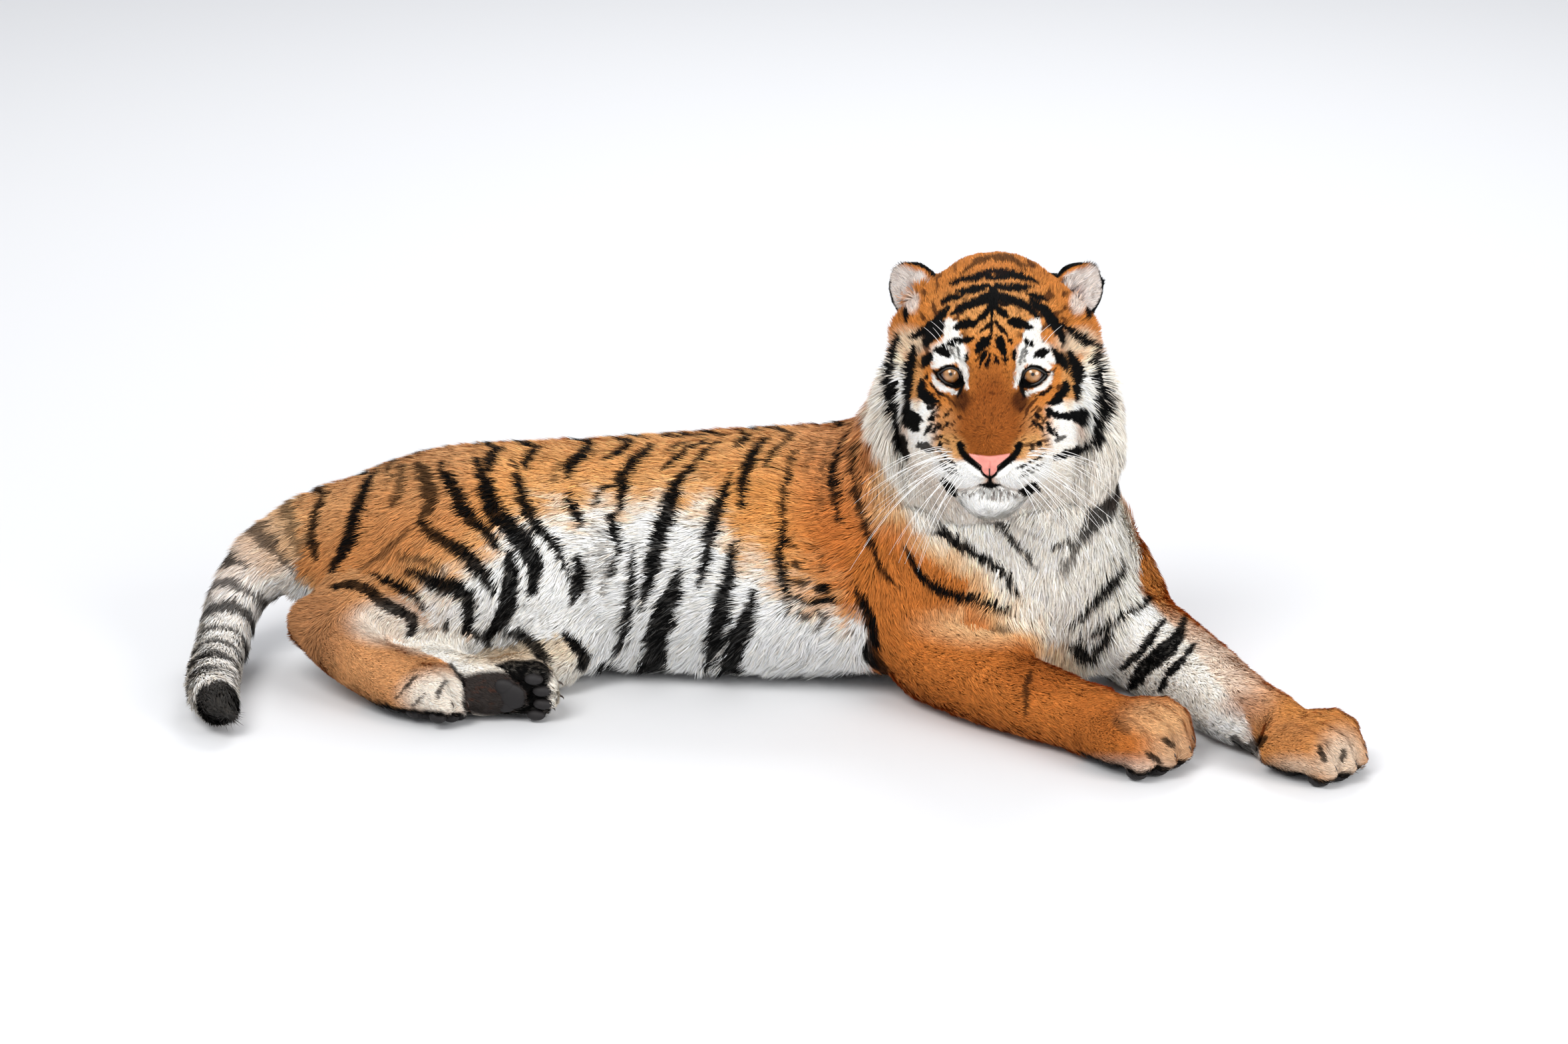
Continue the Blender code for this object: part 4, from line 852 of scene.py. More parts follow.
def ear_colour(points):
    """Grey-white inside, a thin dark rim, and black behind with a white spot."""
    local = in_ear(points)
    flat = local[:, [0, 2]]
    round_rim = oval(flat, 0, 0, EAR_SIZE[0], EAR_SIZE[2])
    inside = smooth_step(0.002, -0.004, local[:, 1])
    colour = inked(BLACK_HAIR, inside, EAR_GREY)
    cup = inside * 0.6 * smooth_step(1.0, 0.3, oval(flat, -0.002, -0.010, 0.020, 0.030))
    colour = inked(colour, cup, EAR_SKIN)
    hairs = smooth_step(0.5, 0.8, lattice_noise(points * [1, 1, 0.3], 0.0035, 21))
    colour = inked(colour, inside * hairs * 0.45, EAR_SHADE)
    spot = smooth_step(1.2, 0.8, oval(flat, 0, 0.006, 0.016, 0.018))
    colour = inked(colour, (1 - inside) * spot, WHITE)
    base = smooth_step(-0.016, -0.030, local[:, 2])
    inner = smooth_step(-0.004, -0.018, local[:, 0])
    colour = inked(colour, inside * inner * smooth_step(0.72, 0.86, round_rim), FACE_ORANGE)
    outer = smooth_step(0.018, 0.030, local[:, 0])
    colour = inked(colour, inside * base * (1 - outer), CREAM)
    rim = smooth_step(0.88, 0.94, round_rim) * smooth_step(-0.030, -0.008, local[:, 2])
    return inked(colour, np.maximum(rim, base * outer * 0.9), BLACK_HAIR)


def along_line(points, line):
    """How far along a bent line the nearest place to each point lies, in metres."""
    nearest, where, run = np.full(len(points), FAR), np.zeros(len(points)), 0.0
    for a, b in zip(line[:-1], line[1:]):
        length = np.linalg.norm(b - a)
        t = np.clip((points - a) @ (b - a) / length ** 2, 0, 1)
        gap = np.linalg.norm(points - a - t[:, None] * (b - a), axis=1)
        closer = gap < nearest
        nearest[closer], where[closer] = gap[closer], (run + t * length)[closer]
        run += length
    return where


TAIL_TAN, TAIL_PALE, TAIL_UNDER = srgb(210, 164, 116), srgb(234, 225, 218), srgb(248, 242, 234)


def tail_colour(points):
    s = along_line(points, TAIL_LINE)
    middle = np.interp(points[:, 0], TAIL_LINE[3::-1, 0], TAIL_LINE[3::-1, 2])
    under = smooth_step(0.0, -0.035, points[:, 2] - middle)
    near_side = smooth_step(0.20, 0.27, s) * smooth_step(-0.795, -0.735, points[:, 0])
    colour = inked(TAIL_TAN, smooth_step(0.08, 0.30, s), TAIL_PALE)
    colour = inked(colour, np.clip(under + near_side, 0, 1) * 0.75, TAIL_UNDER)
    s = s * 1000 + (lattice_noise(points, 0.012, 5) - 0.5) * 7
    dark = np.zeros(len(points))
    for at, half, strength in TAIL_RINGS:
        dark = np.maximum(dark, 0.88 * strength * smooth_step(2, -2, np.abs(s - at) - half))
    return inked(colour, dark, BLACK_HAIR)


def in_foot(points, name):
    """Places in a foot's own frame, as shares of its length, width and height."""
    wrist, axes, size = foot_frame(name)
    return (points - wrist) @ axes.T / size


# Ovals of colour on the legs, in the same plane as their stripes.
RUSSET, RUSSET_SHADE, SANDY = srgb(192, 114, 55), srgb(150, 84, 42), srgb(214, 196, 176)
RIGHT_FORELEG_PATCHES = [
    (srgb(228, 190, 142), 0.7, 31, 11.6, 8, 2.6, 0.7), (srgb(150, 80, 36), 0.6, 38, 5.5, 5, 4, 0.5),
    (srgb(208, 180, 146), 0.65, 56.5, -6.4, 4.0, 3.8, 0.8), (srgb(222, 206, 190), 0.7, 49, -10, 8, 2.6, 0.6),
    (srgb(226, 180, 130), 0.7, 54, -1.5, 5, 2.4, 0.5), (RUSSET_SHADE, 0.35, 46, -2, 5, 3, 0.9)]
LEFT_FORELEG_PATCHES = [
    (GREY_WHITE, 0.7, 58, 4, 10, 8, 0.5), (srgb(176, 118, 74), 0.6, 71, -4.0, 5, 2.6, 0.6),
    (SANDY, 0.85, 79.0, -7.4, 3.4, 4.0, 0.6), (SANDY, 0.7, 72.5, -8.8, 3.6, 1.8, 0.8),
    (WHITE, 0.8, 63.5, -3.4, 2.2, 2.6, 0.5), (srgb(150, 96, 60), 0.6, 66, 0, 3, 2, 0.6)]
RIGHT_HINDLEG_PATCHES = [
    (GREY_WHITE, 0.85, -54, 12, 5.4, 3.0, 0.5), (GREY_WHITE, 0.9, -45.6, 1.2, 5.6, 3.6, 0.45),
    (srgb(158, 108, 74), 0.6, -65, 11, 6, 6, 0.5)]
LEFT_HINDLEG_PATCHES = [
    (srgb(216, 192, 160), 0.7, -33, 8.5, 8, 3, 0.5), (WHITE, 0.8, -47, 8, 6, 4, 0.5),
    (srgb(216, 178, 130), 0.35, -40, 7.2, 5, 1.4, 0.5), (srgb(34, 27, 27), 0.97, -38.6, 1.4, 6.4, 3.5, 0.14)]

# Borders between two colours, each a bent line of (where along it, how far it lies).
BELLY_FROM = [  # centimetres along the body, degrees from the spine
    (-65, 112), (-56, 104), (-48, 88), (-41, 74), (-36, 58), (-30, 50), (-20, 46), (-12, 47),
    (-8, 52), (-4, 74), (3, 88), (8, 100), (16, 120), (30, 130)]
BIB_FROM = [(6, 43), (11, 37), (19, 30.5), (23, 25.5), (28, 19.5), (34, 19)]  # up, along
ELBOW_BACK = [(4, 14.6), (10, 14.4), (15, 12.8), (19, 10.5)]
LEFT_FORELEG_TOP = [  # along, up
    (50, 20), (55, 14.5), (59, 9.3), (62.8, 3.4), (66, -0.6), (67.5, -5.0), (69, -12), (80, -12)]
LEFT_FORELEG_FAR_SIDE = [(0.45, 0.16), (0.72, -0.22)]  # in metres: along, away
TOES_END = [(-1.1, -42.9), (1.0, -42.6), (3.9, -43.2), (5.9, -45.2), (7.3, -48.0)]  # up, along


def border(where, line):
    return np.interp(where, *np.array(line).T)


def right_foreleg(plane, fine):
    leg = patched(np.tile(RUSSET, (len(plane), 1)), plane, RIGHT_FORELEG_PATCHES)
    behind = smooth_step(0.5, -0.7, plane[:, 0] + fine[:, 0] - border(plane[:, 1], ELBOW_BACK))
    return inked(leg, behind * smooth_step(15, 11, plane[:, 1]), WHITE)


def left_foreleg(points, plane):
    outside = smooth_step(-1.2, 1.0, plane[:, 1] - border(plane[:, 0], LEFT_FORELEG_TOP))
    leg = patched(inked(WHITE, outside, srgb(206, 138, 76)), plane, LEFT_FORELEG_PATCHES)
    far_side = points[:, 1] - border(points[:, 0], LEFT_FORELEG_FAR_SIDE)
    return inked(leg, smooth_step(0.02, 0.05, far_side), srgb(200, 126, 62))


def hindlegs(colour, points, nodes, plane):
    """The right shank lies on the folded left leg, which is grey-white round its dark sole."""
    toes_end = border(plane[:, 1], TOES_END)
    right = belongs(nodes, "right_hindpaw") * smooth_step(0.3, -0.3, plane[:, 0] - toes_end)
    right = right + belongs(nodes, "right_shank") * smooth_step(-0.40, -0.44, points[:, 0])
    shank = patched(np.tile(srgb(206, 148, 98), (len(points), 1)), plane, RIGHT_HINDLEG_PATCHES)
    colour = inked(colour, right, shank)
    folded = belongs(nodes, *(f"left_{part}" for part in HINDLEG))
    folded |= belongs(nodes, "right_hindpaw") & (plane[:, 0] > toes_end)
    inner = patched(np.tile(GREY_WHITE, (len(points), 1)), plane, LEFT_HINDLEG_PATCHES)
    colour = np.where(folded[:, None], inner, colour)
    return patched(colour, plane, [(GREY_WHITE, 0.9, -47.5, 9.5, 5, 2.2, 0.4)])


def sole_darkness(points, nodes):
    """Black between the pads; more of the left hind foot's sole shows."""
    soles = np.zeros(len(points))
    for name in FEET:
        rows = np.nonzero(belongs(nodes, name))[0]
        local = in_foot(points[rows], name)
        edge = local[:, 2] + 0.10 * (lattice_noise(points[rows], 0.010, 12) - 0.5)
        start, end = (0.04, 0.88) if name == "left_hindpaw" else (-0.20, 1.0)
        soles[rows] = smooth_step(start, start - 0.10, edge)
        soles[rows] *= smooth_step(end + 0.04, end - 0.04, local[:, 0])
    return soles


def body_colour(points, nodes):
    """The trunk, neck and legs: ground colours first, then the stripes, soles and grizzle."""
    centre = np.array([np.interp(points[:, 0], TRUNK_LINE[:, 0], TRUNK_LINE[:, k]) for k in (1, 2)])
    angle = np.degrees(np.arctan2(centre[0] - points[:, 1], points[:, 2] - centre[1]))
    far = angle < 0
    x = points[:, 0] * 100
    blur = lattice_noise(points, 0.03, 8) - 0.5
    belly = border(x, BELLY_FROM)
    belly = np.where(far, np.maximum(belly, 112), belly)
    size = np.abs(angle) + blur * 14
    colour = inked(ORANGE, smooth_step(-0.01, 0.09, points[:, 0]), SHOULDER_RUST)
    colour = inked(colour, smooth_step(-0.36, -0.46, points[:, 0]) * 0.75, RUMP_BROWN)
    streaks = (lattice_noise(points * [0.3, 1, 1], 0.006, 18) - 0.5) * 16
    colour = inked(colour, smooth_step(-30, 2, size + streaks - belly) * 0.6, srgb(230, 184, 128))
    colour = inked(colour, smooth_step(-12, 16, size + streaks - belly), WHITE)

    # Legs and chest, in the tipped plane.
    legs = belongs(nodes, *both("forearm", "forepaw", "shank", "hindpaw"), "left_thigh")
    jag, fine = jitter(points, 0.010, (3, 4)), jitter(points, 0.004, (6, 7))
    rise = (points[:, 2] + TIP_BACK * points[:, 1]) * 100
    plane = np.stack([x, rise], 1)
    pale = x + blur * 5 - border(rise, BIB_FROM)
    colour = inked(colour, smooth_step(70, 5, size) * 0.30, srgb(250, 206, 150))
    bib = smooth_step(0.19, 0.09, points[:, 1] + fine[:, 0] * 0.02) * ~legs
    colour = inked(colour, bib * smooth_step(-7, 0, pale), srgb(228, 184, 132))
    colour = inked(colour, bib * smooth_step(-3, 4, pale), srgb(250, 244, 232))
    right_fore = belongs(nodes, *(f"right_{part}" for part in FORELEG))
    colour = np.where(right_fore[:, None], right_foreleg(plane, fine), colour)
    left_fore = belongs(nodes, *(f"left_{part}" for part in FORELEG))
    colour = np.where(left_fore[:, None], left_foreleg(points, plane), colour)
    colour = hindlegs(colour, points, nodes, plane)

    # Stripes: the trunk's thicken low on the flank, and shift a little on the far side.
    chart = np.stack([x * 10, np.abs(angle) * MM_PER_DEGREE], 1) + jag * 4.5 + fine * 3
    chart[:, 0] += np.where(far, 9 * np.sin(points[:, 0] * 31) + 7, 0)
    stripes = [(a * 1.15, b * (0.8 if d < 0.7 else 1.4 if line[1] < 30 else 1.2), c * 1.15, min(1, d * 1.25),
                *[v * (MM_PER_DEGREE if i % 2 else 10) for i, v in enumerate(line)])
               for a, b, c, d, *line in TRUNK_STRIPES]
    trunk_dark = stroked(chart, stripes, 1.4) * ~legs
    trunk_dark *= smooth_step(0.34, 0.24, points[:, 0])
    marks = [(a * 1.1, b * 1.15, c * 1.1, d, *[v * 10 for v in line]) for a, b, c, d, *line in LEG_STRIPES]
    near = smooth_step(0.01, -0.01, points[:, 1] - centre[0])
    leg_dark = stroked(plane * 10 + jag * 5 + fine * 3, marks, 1.3) * near
    far_dark = smooth_step(0.72, 0.86, np.sin(rise * 1.1 + x * 0.35)) * far * legs * 0.8
    far_dark *= smooth_step(0.04, 0.0, points[:, 1] - centre[0])
    dark = np.maximum(np.maximum(trunk_dark, leg_dark), np.maximum(far_dark, sole_darkness(points, nodes)))
    brindle = smooth_step(0.70, 0.86, lattice_noise(points * [0.3, 1, 1], 0.0030, 19))
    colour = inked(colour, brindle * 0.28 * smooth_step(0.55, 0.35, colour[:, 1]), srgb(96, 50, 26))
    weak = smooth_step(0.9, 0.5, dark)
    grizzle = lattice_noise(points, 0.0035, 11)
    ink = inked(BLACK_HAIR, weak * 0.6, BROWN_HAIR)
    return inked(colour, np.clip(dark * (0.90 + 0.2 * grizzle), 0, 1), ink)


def pelt(points, nodes):
    """The coat's colour at each place."""
    colour = body_colour(points, nodes)
    tail = belongs(nodes, *TAIL)
    behind_rump = smooth_step(-0.655, -0.685, points[tail, 0])
    colour[tail] = inked(colour[tail], behind_rump, tail_colour(points[tail]))
    head = belongs(nodes, *SKULL)
    q = in_head(points[head])
    low = q[:, 2] + 0.35 * np.maximum(np.abs(q[:, 0]) - 0.06, 0)
    share = smooth_step(-0.190, -0.168, low)
    side = border(q[:, 2], RUFF_EDGE)
    share = share * smooth_step(side + 0.014, side - 0.006, -q[:, 0])
    colour[head] = inked(colour[head], share, head_colour(points[head]))
    ears = belongs(nodes, *EARS)
    colour[ears] = ear_colour(points[ears])
    return np.clip(colour, 0.002, 1)


# ---- Coat ---------------------------------------------------------------------------------
# Winter fur: thin flattened tufts rooted in the hide, each a narrow blade that leaves the
# skin at a slant and bends over along the lie of the coat. Short on the face and feet,
# long in the ruff, on the chest and under the belly, where neighbours gather into locks.
COAT_TUFTS = 690_000
MOST_IN_A_PIECE = 97_000
PATCH = 0.003  # how much of the unwrap one tuft takes
LIE = {  # the way the hair runs on each piece of the body
    "right_upper_arm": (0.0, -0.3, -0.9), "right_forearm": (0.71, -0.70, -0.10),
    "right_forepaw": (0.80, -0.60, -0.10), "left_upper_arm": (0.3, -0.25, -0.9),
    "left_forearm": (0.47, -0.88, -0.10), "left_forepaw": (0.88, -0.48, -0.10),
    "right_thigh": (-0.60, -0.20, -0.80), "right_shank": (-0.95, 0.0, -0.30),
    "right_hindpaw": (0.84, -0.50, -0.20), "left_thigh": (0.55, -0.70, -0.40),
    "left_shank": (-1.0, 0.1, -0.2), "left_hindpaw": (0.80, -0.55, -0.10),
}


def tangent_part(vectors, normals):
    return unit(vectors - (vectors * normals).sum(1, keepdims=True) * normals)


def lie_of(points, normals, nodes):
    """The way the coat lies at each vertex of the skin."""
    lie = np.tile((-0.9, 0.0, -0.1), (len(points), 1))
    low = smooth_step(0.20, 0.06, points[:, 2])[:, None]
    lie = lie + low * (np.array((-0.45, 0.0, -0.85)) - lie)
    chest = (smooth_step(0.16, 0.34, points[:, 0]) * smooth_step(0.15, 0.02, points[:, 1]))[:, None]
    lie = lie + chest * (np.array((-0.05, -0.1, -1.0)) - lie)
    for name, way in LIE.items():
        lie[belongs(nodes, name)] = way
    tail = np.nonzero(belongs(nodes, *TAIL))[0]
    run = along_line(points[tail], TAIL_LINE)
    steps = np.diff(TAIL_LINE, axis=0)
    reach = np.concatenate([[0], np.cumsum(np.linalg.norm(steps, axis=1))])
    middle = (reach[1:] + reach[:-1]) / 2
    lie[tail] = np.stack([np.interp(run, middle, column) for column in unit(steps).T], 1)
    head = np.nonzero(belongs(nodes, *SKULL))[0]
    q = in_head(points[head])
    way = unit(q - (0.0, -0.165, -0.062))
    ruff = smooth_step(0.085, 0.135, np.abs(q[:, 0])) * smooth_step(0.10, -0.02, q[:, 2])
    throat = smooth_step(-0.10, -0.15, q[:, 2]) * smooth_step(-0.13, -0.08, q[:, 1])
    down = np.maximum(ruff, throat)[:, None]
    heights = (-0.22, -0.12, -0.02, 0.10)
    across = np.interp(q[:, 2], heights, (-0.35, -0.15, 0.15, 0.55)) * np.clip(q[:, 0] / 0.08, -1, 1)
    fall = np.interp(q[:, 2], heights, (-0.90, -0.95, -0.95, -0.50))
    outward = np.stack([across, 0.30 + 0 * across, fall], 1)
    way = way + down * (outward - way)
    beard = (smooth_step(-0.122, -0.138, q[:, 2]) * smooth_step(-0.07, -0.10, q[:, 1]))[:, None]
    way = way + beard * (np.array((0.0, -0.45, -0.9)) - way)
    lie[head] = way @ HEAD_TURN.T
    ears = np.nonzero(belongs(nodes, *EARS))[0]
    side = np.sign(in_head(points[ears])[:, 0])
    lie[ears] = np.stack([side * 0.85, 0 * side, 0.55 + 0 * side], 1) @ HEAD_TURN.T
    return tangent_part(lie, normals)


HAIR = {  # length, lift of the tip, width, tufts for a given area
    ("trunk", "neck"): (0.025, 0.0115, 0.0016, 1.0), TAIL: (0.030, 0.0130, 0.0018, 1.4),
    both("upper_arm"): (0.023, 0.010, 0.0016, 1.1), both("thigh"): (0.024, 0.010, 0.0016, 1.1),
    both("forearm", "shank"): (0.017, 0.007, 0.0015, 1.5), EARS: (0.009, 0.002, 0.0011, 4.5),
    both("forepaw", "hindpaw"): (0.010, 0.0038, 0.0012, 3.0), SKULL: (0.0, 0.0, 0.0, 0.0),
}


def coat_of(points, nodes):
    """The same four measures at each vertex of the skin, with its changes over each part."""
    length, lift, width, crowd = np.zeros((4, len(points)))
    for names, measures in HAIR.items():
        rows = belongs(nodes, *names)
        length[rows], lift[rows], width[rows], crowd[rows] = measures
    height, along = points[:, 2], points[:, 0]
    trunk = belongs(nodes, "trunk", "neck")
    belly = smooth_step(0.16, 0.05, height) * trunk
    chest = smooth_step(0.22, 0.36, along) * smooth_step(0.20, 0.05, points[:, 1]) * trunk
    length += 0.018 * belly + 0.006 * chest * (1 - belly)
    lift += 0.008 * belly + 0.002 * chest * (1 - belly)
    width += 0.0005 * belly
    local = in_ear(points)
    cup = belongs(nodes, *EARS) & (local[:, 1] < -0.001)
    middle = smooth_step(0.95, 0.55, oval(local[:, [0, 2]], 0, 0, EAR_SIZE[0], EAR_SIZE[2]))
    length[cup] = (0.006 + 0.018 * middle * smooth_step(0.020, -0.010, local[:, 0]))[cup]
    lift[cup], crowd[cup] = (0.0015 + 0.007 * middle)[cup], 5.5
    q = in_head(points)
    x, y, z = np.abs(q[:, 0]), q[:, 1], q[:, 2]
    head = belongs(nodes, *SKULL)
    back = smooth_step(-0.12, 0.00, y)
    ruff = smooth_step(0.090, 0.140, x) * smooth_step(0.135, 0.06, z) * smooth_step(-0.075, -0.02, y)
    throat = smooth_step(-0.125, -0.165, z) * smooth_step(-0.12, -0.07, y)
    long_hair = np.maximum(ruff, 0.8 * throat) * (1 - 0.35 * smooth_step(-0.06, -0.13, z))
    chin = smooth_step(-0.135, -0.155, z) * smooth_step(-0.07, -0.10, y)
    cheek = smooth_step(0.075, 0.105, x) * smooth_step(-0.09, -0.04, y) * smooth_step(0.08, 0.02, z)
    head_length = 0.0058 + 0.007 * back + 0.008 * cheek + 0.012 * chin + 0.021 * long_hair
    head_length += 0.006 * smooth_step(0.03, 0.12, y)
    length[head] = head_length[head]
    lift[head] = (0.0022 + 0.0040 * back + 0.003 * cheek + 0.006 * chin + 0.009 * long_hair
                  + 0.004 * smooth_step(0.03, 0.12, y))[head]
    width[head] = (0.0010 + 0.0004 * back + 0.0009 * long_hair)[head]
    crowd[head] = (6.5 - 3.4 * back - 1.4 * long_hair)[head]
    near_lid = smooth_step(0.0005, 0.0045, lid_opening(q)) * (y < -0.05) + (y >= -0.05)
    bare = smooth_step(0.85, 1.1, oval(q[:, [0, 2]], 0, -0.092, 0.033, 0.021)) * (y < -0.12) + (y >= -0.12)
    lips = smooth_step(0.0012, 0.0035, line_distance(np.stack([x, z], 1), MOUTH)) * (y < -0.06)
    lips = lips + (y >= -0.06)
    crowd[head] *= (near_lid * bare * lips)[head]
    return length, lift, width, crowd


skin_mesh = skin.data
skin_mesh.calc_loop_triangles()
skin_tris = read(skin_mesh.loop_triangles, "vertices", 3, np.int32)
tri_loops = read(skin_mesh.loop_triangles, "loops", 3, np.int32)
skin_points, skin_normals = points_of(skin_mesh), normals_of(skin_mesh)
skin_nodes, skin_ends = nearest_nodes(skin_points), edges_of(skin_mesh)

# The skin's own unwrap, on which every tuft takes its small patch.
bpy.context.view_layer.objects.active = skin
skin.select_set(True)
bpy.ops.object.mode_set(mode="EDIT")
bpy.ops.mesh.select_all(action="SELECT")
bpy.ops.uv.smart_project(angle_limit=math.radians(66), island_margin=0.002)
bpy.ops.object.mode_set(mode="OBJECT")
skin_mesh = skin.data
skin_mesh.uv_layers[0].name = "OFBake"
skin_uv = read(skin_mesh.uv_layers[0].uv, "vector", 2, np.float32)

lie = lie_of(skin_points, skin_normals, skin_nodes)
for _ in range(14):
    lie = tangent_part(relaxed(lie, skin_ends, 0.6), skin_normals)

# Measures ease into each other, but places left bare stay bare, and the soles nearly so.
fields = np.stack(coat_of(skin_points, skin_nodes), 1)
CROWD = 3  # the column of fields that says how crowded the tufts are
for _ in range(5):
    kept = fields[:, CROWD]
    fields = relaxed(fields, skin_ends, 0.5)
    fields[:, CROWD] = np.where(kept < 0.05, kept, fields[:, CROWD])
on_floor = smooth_step(-0.45, -0.75, skin_normals[:, 2]) * (skin_points[:, 2] < 0.012)
fields[:, CROWD] *= 1 - on_floor
for name in FEET:
    rows = np.nonzero(belongs(skin_nodes, name))[0]
    beneath = smooth_step(-0.22, -0.34, in_foot(skin_points[rows], name)[:, 2])
    fields[rows, CROWD] *= 1 - 0.93 * beneath

# Roots, spread evenly over the skin by area and by how crowded the coat is there.
rng = np.random.default_rng(41)
a, b, c = (skin_points[skin_tris[:, k]] for k in range(3))
area = np.linalg.norm(np.cross(b - a, c - a), axis=1) / 2
share = area * fields[skin_tris, CROWD].mean(1)
reach = np.cumsum(share) / share.sum() * COAT_TUFTS
at = np.minimum(np.searchsorted(reach, np.arange(COAT_TUFTS) + rng.random(COAT_TUFTS)), len(area) - 1)
u, v = rng.random((2, COAT_TUFTS))
over = u + v > 1
u[over], v[over] = 1 - u[over], 1 - v[over]
weights = np.stack([1 - u - v, u, v], 1)


def spread(values):
    return (values[skin_tris[at]] * weights[:, :, None]).sum(1)


root = spread(skin_points)
normal = unit(spread(skin_normals))
root_uv = (skin_uv[tri_loops[at]] * weights[:, :, None]).sum(1)
lay = tangent_part(spread(lie), normal)
length, lift, width, _ = spread(fields).T
tuft_node = skin_nodes[skin_tris[at, 0]]

# The lie wanders a little from place to place, and more from tuft to tuft.
across = np.cross(normal, lay)
sway = (lattice_noise(root, 0.035, 21) - 0.5) * 0.9 + (lattice_noise(root, 0.011, 22) - 0.5) * 0.7
sway += rng.normal(0, 0.13, COAT_TUFTS)
lay = unit(lay + across * sway[:, None])
across = np.cross(normal, lay)
length = length * (0.86 + 0.34 * lattice_noise(root, 0.016, 23)) * rng.uniform(0.78, 1.16, COAT_TUFTS)
lift = lift * (0.66 + 0.62 * lattice_noise(root, 0.013, 24)) * rng.uniform(0.72, 1.22, COAT_TUFTS)
width = width * rng.uniform(0.75, 1.25, COAT_TUFTS)
bend = rng.normal(0, 0.10, COAT_TUFTS) * length


def tuft_at(s):
    return (root + lay * (length * s)[:, None] + normal * (lift * (1 - (1 - s) ** 2))[:, None]
            + across * (bend * s * s)[:, None])


# Long hair gathers into locks: each tip is drawn towards the tip of a neighbour.
TUFTS_IN_A_LOCK, LOCK_PULL, LOCK_REACH = 26, 0.42, 0.022
tip, half = tuft_at(1.0), tuft_at(0.42)
leaders = np.arange(0, COAT_TUFTS, TUFTS_IN_A_LOCK)
crowd_tree = kdtree.KDTree(len(leaders))
for index, place in enumerate(root[leaders].tolist()):
    crowd_tree.insert(place, index)
crowd_tree.balance()
leader = leaders[np.array([crowd_tree.find(place)[1] for place in root.tolist()])]
pull = smooth_step(0.012, 0.045, length)[:, None] * LOCK_PULL
close = (np.linalg.norm(root[leader] - root, axis=1) < LOCK_REACH)[:, None]
tip += pull * close * (tip[leader] - tip)
half += 0.35 * pull * close * (half[leader] - half)

roll = rng.uniform(-0.45, 0.45, COAT_TUFTS)[:, None]
broad = unit(across * np.cos(roll) + normal * np.sin(roll)) * (width / 2)[:, None]
ROOT_DEPTH, LOWEST_HAIR = 0.0008, 0.0012
tufts = np.stack([root - normal * ROOT_DEPTH, half + broad, half - broad, tip], 1)
tufts[:, :, 2] = np.maximum(tufts[:, :, 2], LOWEST_HAIR)

# Each hair is of one colour over its outer half; the root end is darkened as painted shade deep in the coat,
# and the tip is a little lighter.
strand = np.exp(rng.normal(0, 0.15, COAT_TUFTS))[:, None]
strand = strand * (0.90 + 0.2 * lattice_noise(root, 0.006, 25))[:, None]
warm = 1 + rng.normal(0, 0.03, (COAT_TUFTS, 1)) * [1, 0, -1]
stray = rng.normal(0, 0.035, COAT_TUFTS) * length + rng.normal(0, 0.0004, COAT_TUFTS)
low, high = (pelt(tuft_at(s) + across * stray[:, None], tuft_node) * strand * warm for s in (0.15, 0.62))
# painted shade at the roots: dark hair is darkened the most there, pale hair hardly at all
deep = 0.58 + 0.40 * smooth_step(0.25, 0.7, low.mean(1, keepdims=True))
shades = np.stack([low * deep, high * 0.98, high * 0.98, high * 1.06], 1)
shades = np.clip(shades, 0.0, 0.95)

# A tuft is shaded as part of the coat's surface more than as a flat blade.
soft_normal = unit(0.80 * normal + 0.30 * np.cross(broad, lay) / (width / 2)[:, None]
                   + rng.normal(0, 0.10, (COAT_TUFTS, 3)) + 0.12 * lay)
in_face = in_head(root)
beard = smooth_step(-0.125, -0.145, in_face[:, 2]) * smooth_step(-0.05, -0.09, in_face[:, 1])
beard = (beard * belongs(tuft_node, *SKULL, *EARS))[:, None]
soft_normal = unit(soft_normal + 0.6 * beard * (HEAD_TURN @ np.array((0, -1.0, 0.25))))
patch = np.array([(0.0, -0.5), (-0.5, 0.0), (0.5, 0.0), (0.0, 0.5)]) * PATCH
blade = np.array([(0, 2, 1), (1, 2, 3)])


def colour_attribute(mesh, colours):
    layer = mesh.color_attributes.new("pelt", "FLOAT_COLOR", "POINT")
    rgba = np.ones((len(colours), 4), np.float32)
    rgba[:, :3] = colours
    layer.data.foreach_set("color", rgba.ravel())


def smoothed(mesh):
    mesh.polygons.foreach_set("use_smooth", np.ones(len(mesh.polygons), bool))


def stood(name, mesh, *materials):
    """Puts a mesh, lamp or camera into the scene, a mesh in its materials."""
    for material in materials:
        mesh.materials.append(material)
    piece = bpy.data.objects.new(name, mesh)
    bpy.context.scene.collection.objects.link(piece)
    return piece


def coat_piece(name, rows):
    """One mesh of tufts, two triangles each."""
    mesh = bpy.data.meshes.new(name)
    count = len(rows)
    mesh.vertices.add(count * 4)
    mesh.vertices.foreach_set("co", tufts[rows].astype(np.float32).ravel())
    corners = (blade[None] + 4 * np.arange(count)[:, None, None]).reshape(-1)
    mesh.loops.add(len(corners))
    mesh.polygons.add(count * 2)
    mesh.loops.foreach_set("vertex_index", corners.astype(np.int32))
    mesh.polygons.foreach_set("loop_start", np.arange(0, count * 6, 3, dtype=np.int32))
    uv = mesh.uv_layers.new(name="OFBake")
    places = (root_uv[rows][:, None] + patch[None]).reshape(-1, 2)
    uv.uv.foreach_set("vector", places[corners].astype(np.float32).ravel())
    colour_attribute(mesh, shades[rows].reshape(-1, 3))
    mesh.update()
    smoothed(mesh)
    mesh.normals_split_custom_set_from_vertices(np.repeat(soft_normal[rows], 4, axis=0).tolist())
    return stood(name, mesh, fur)


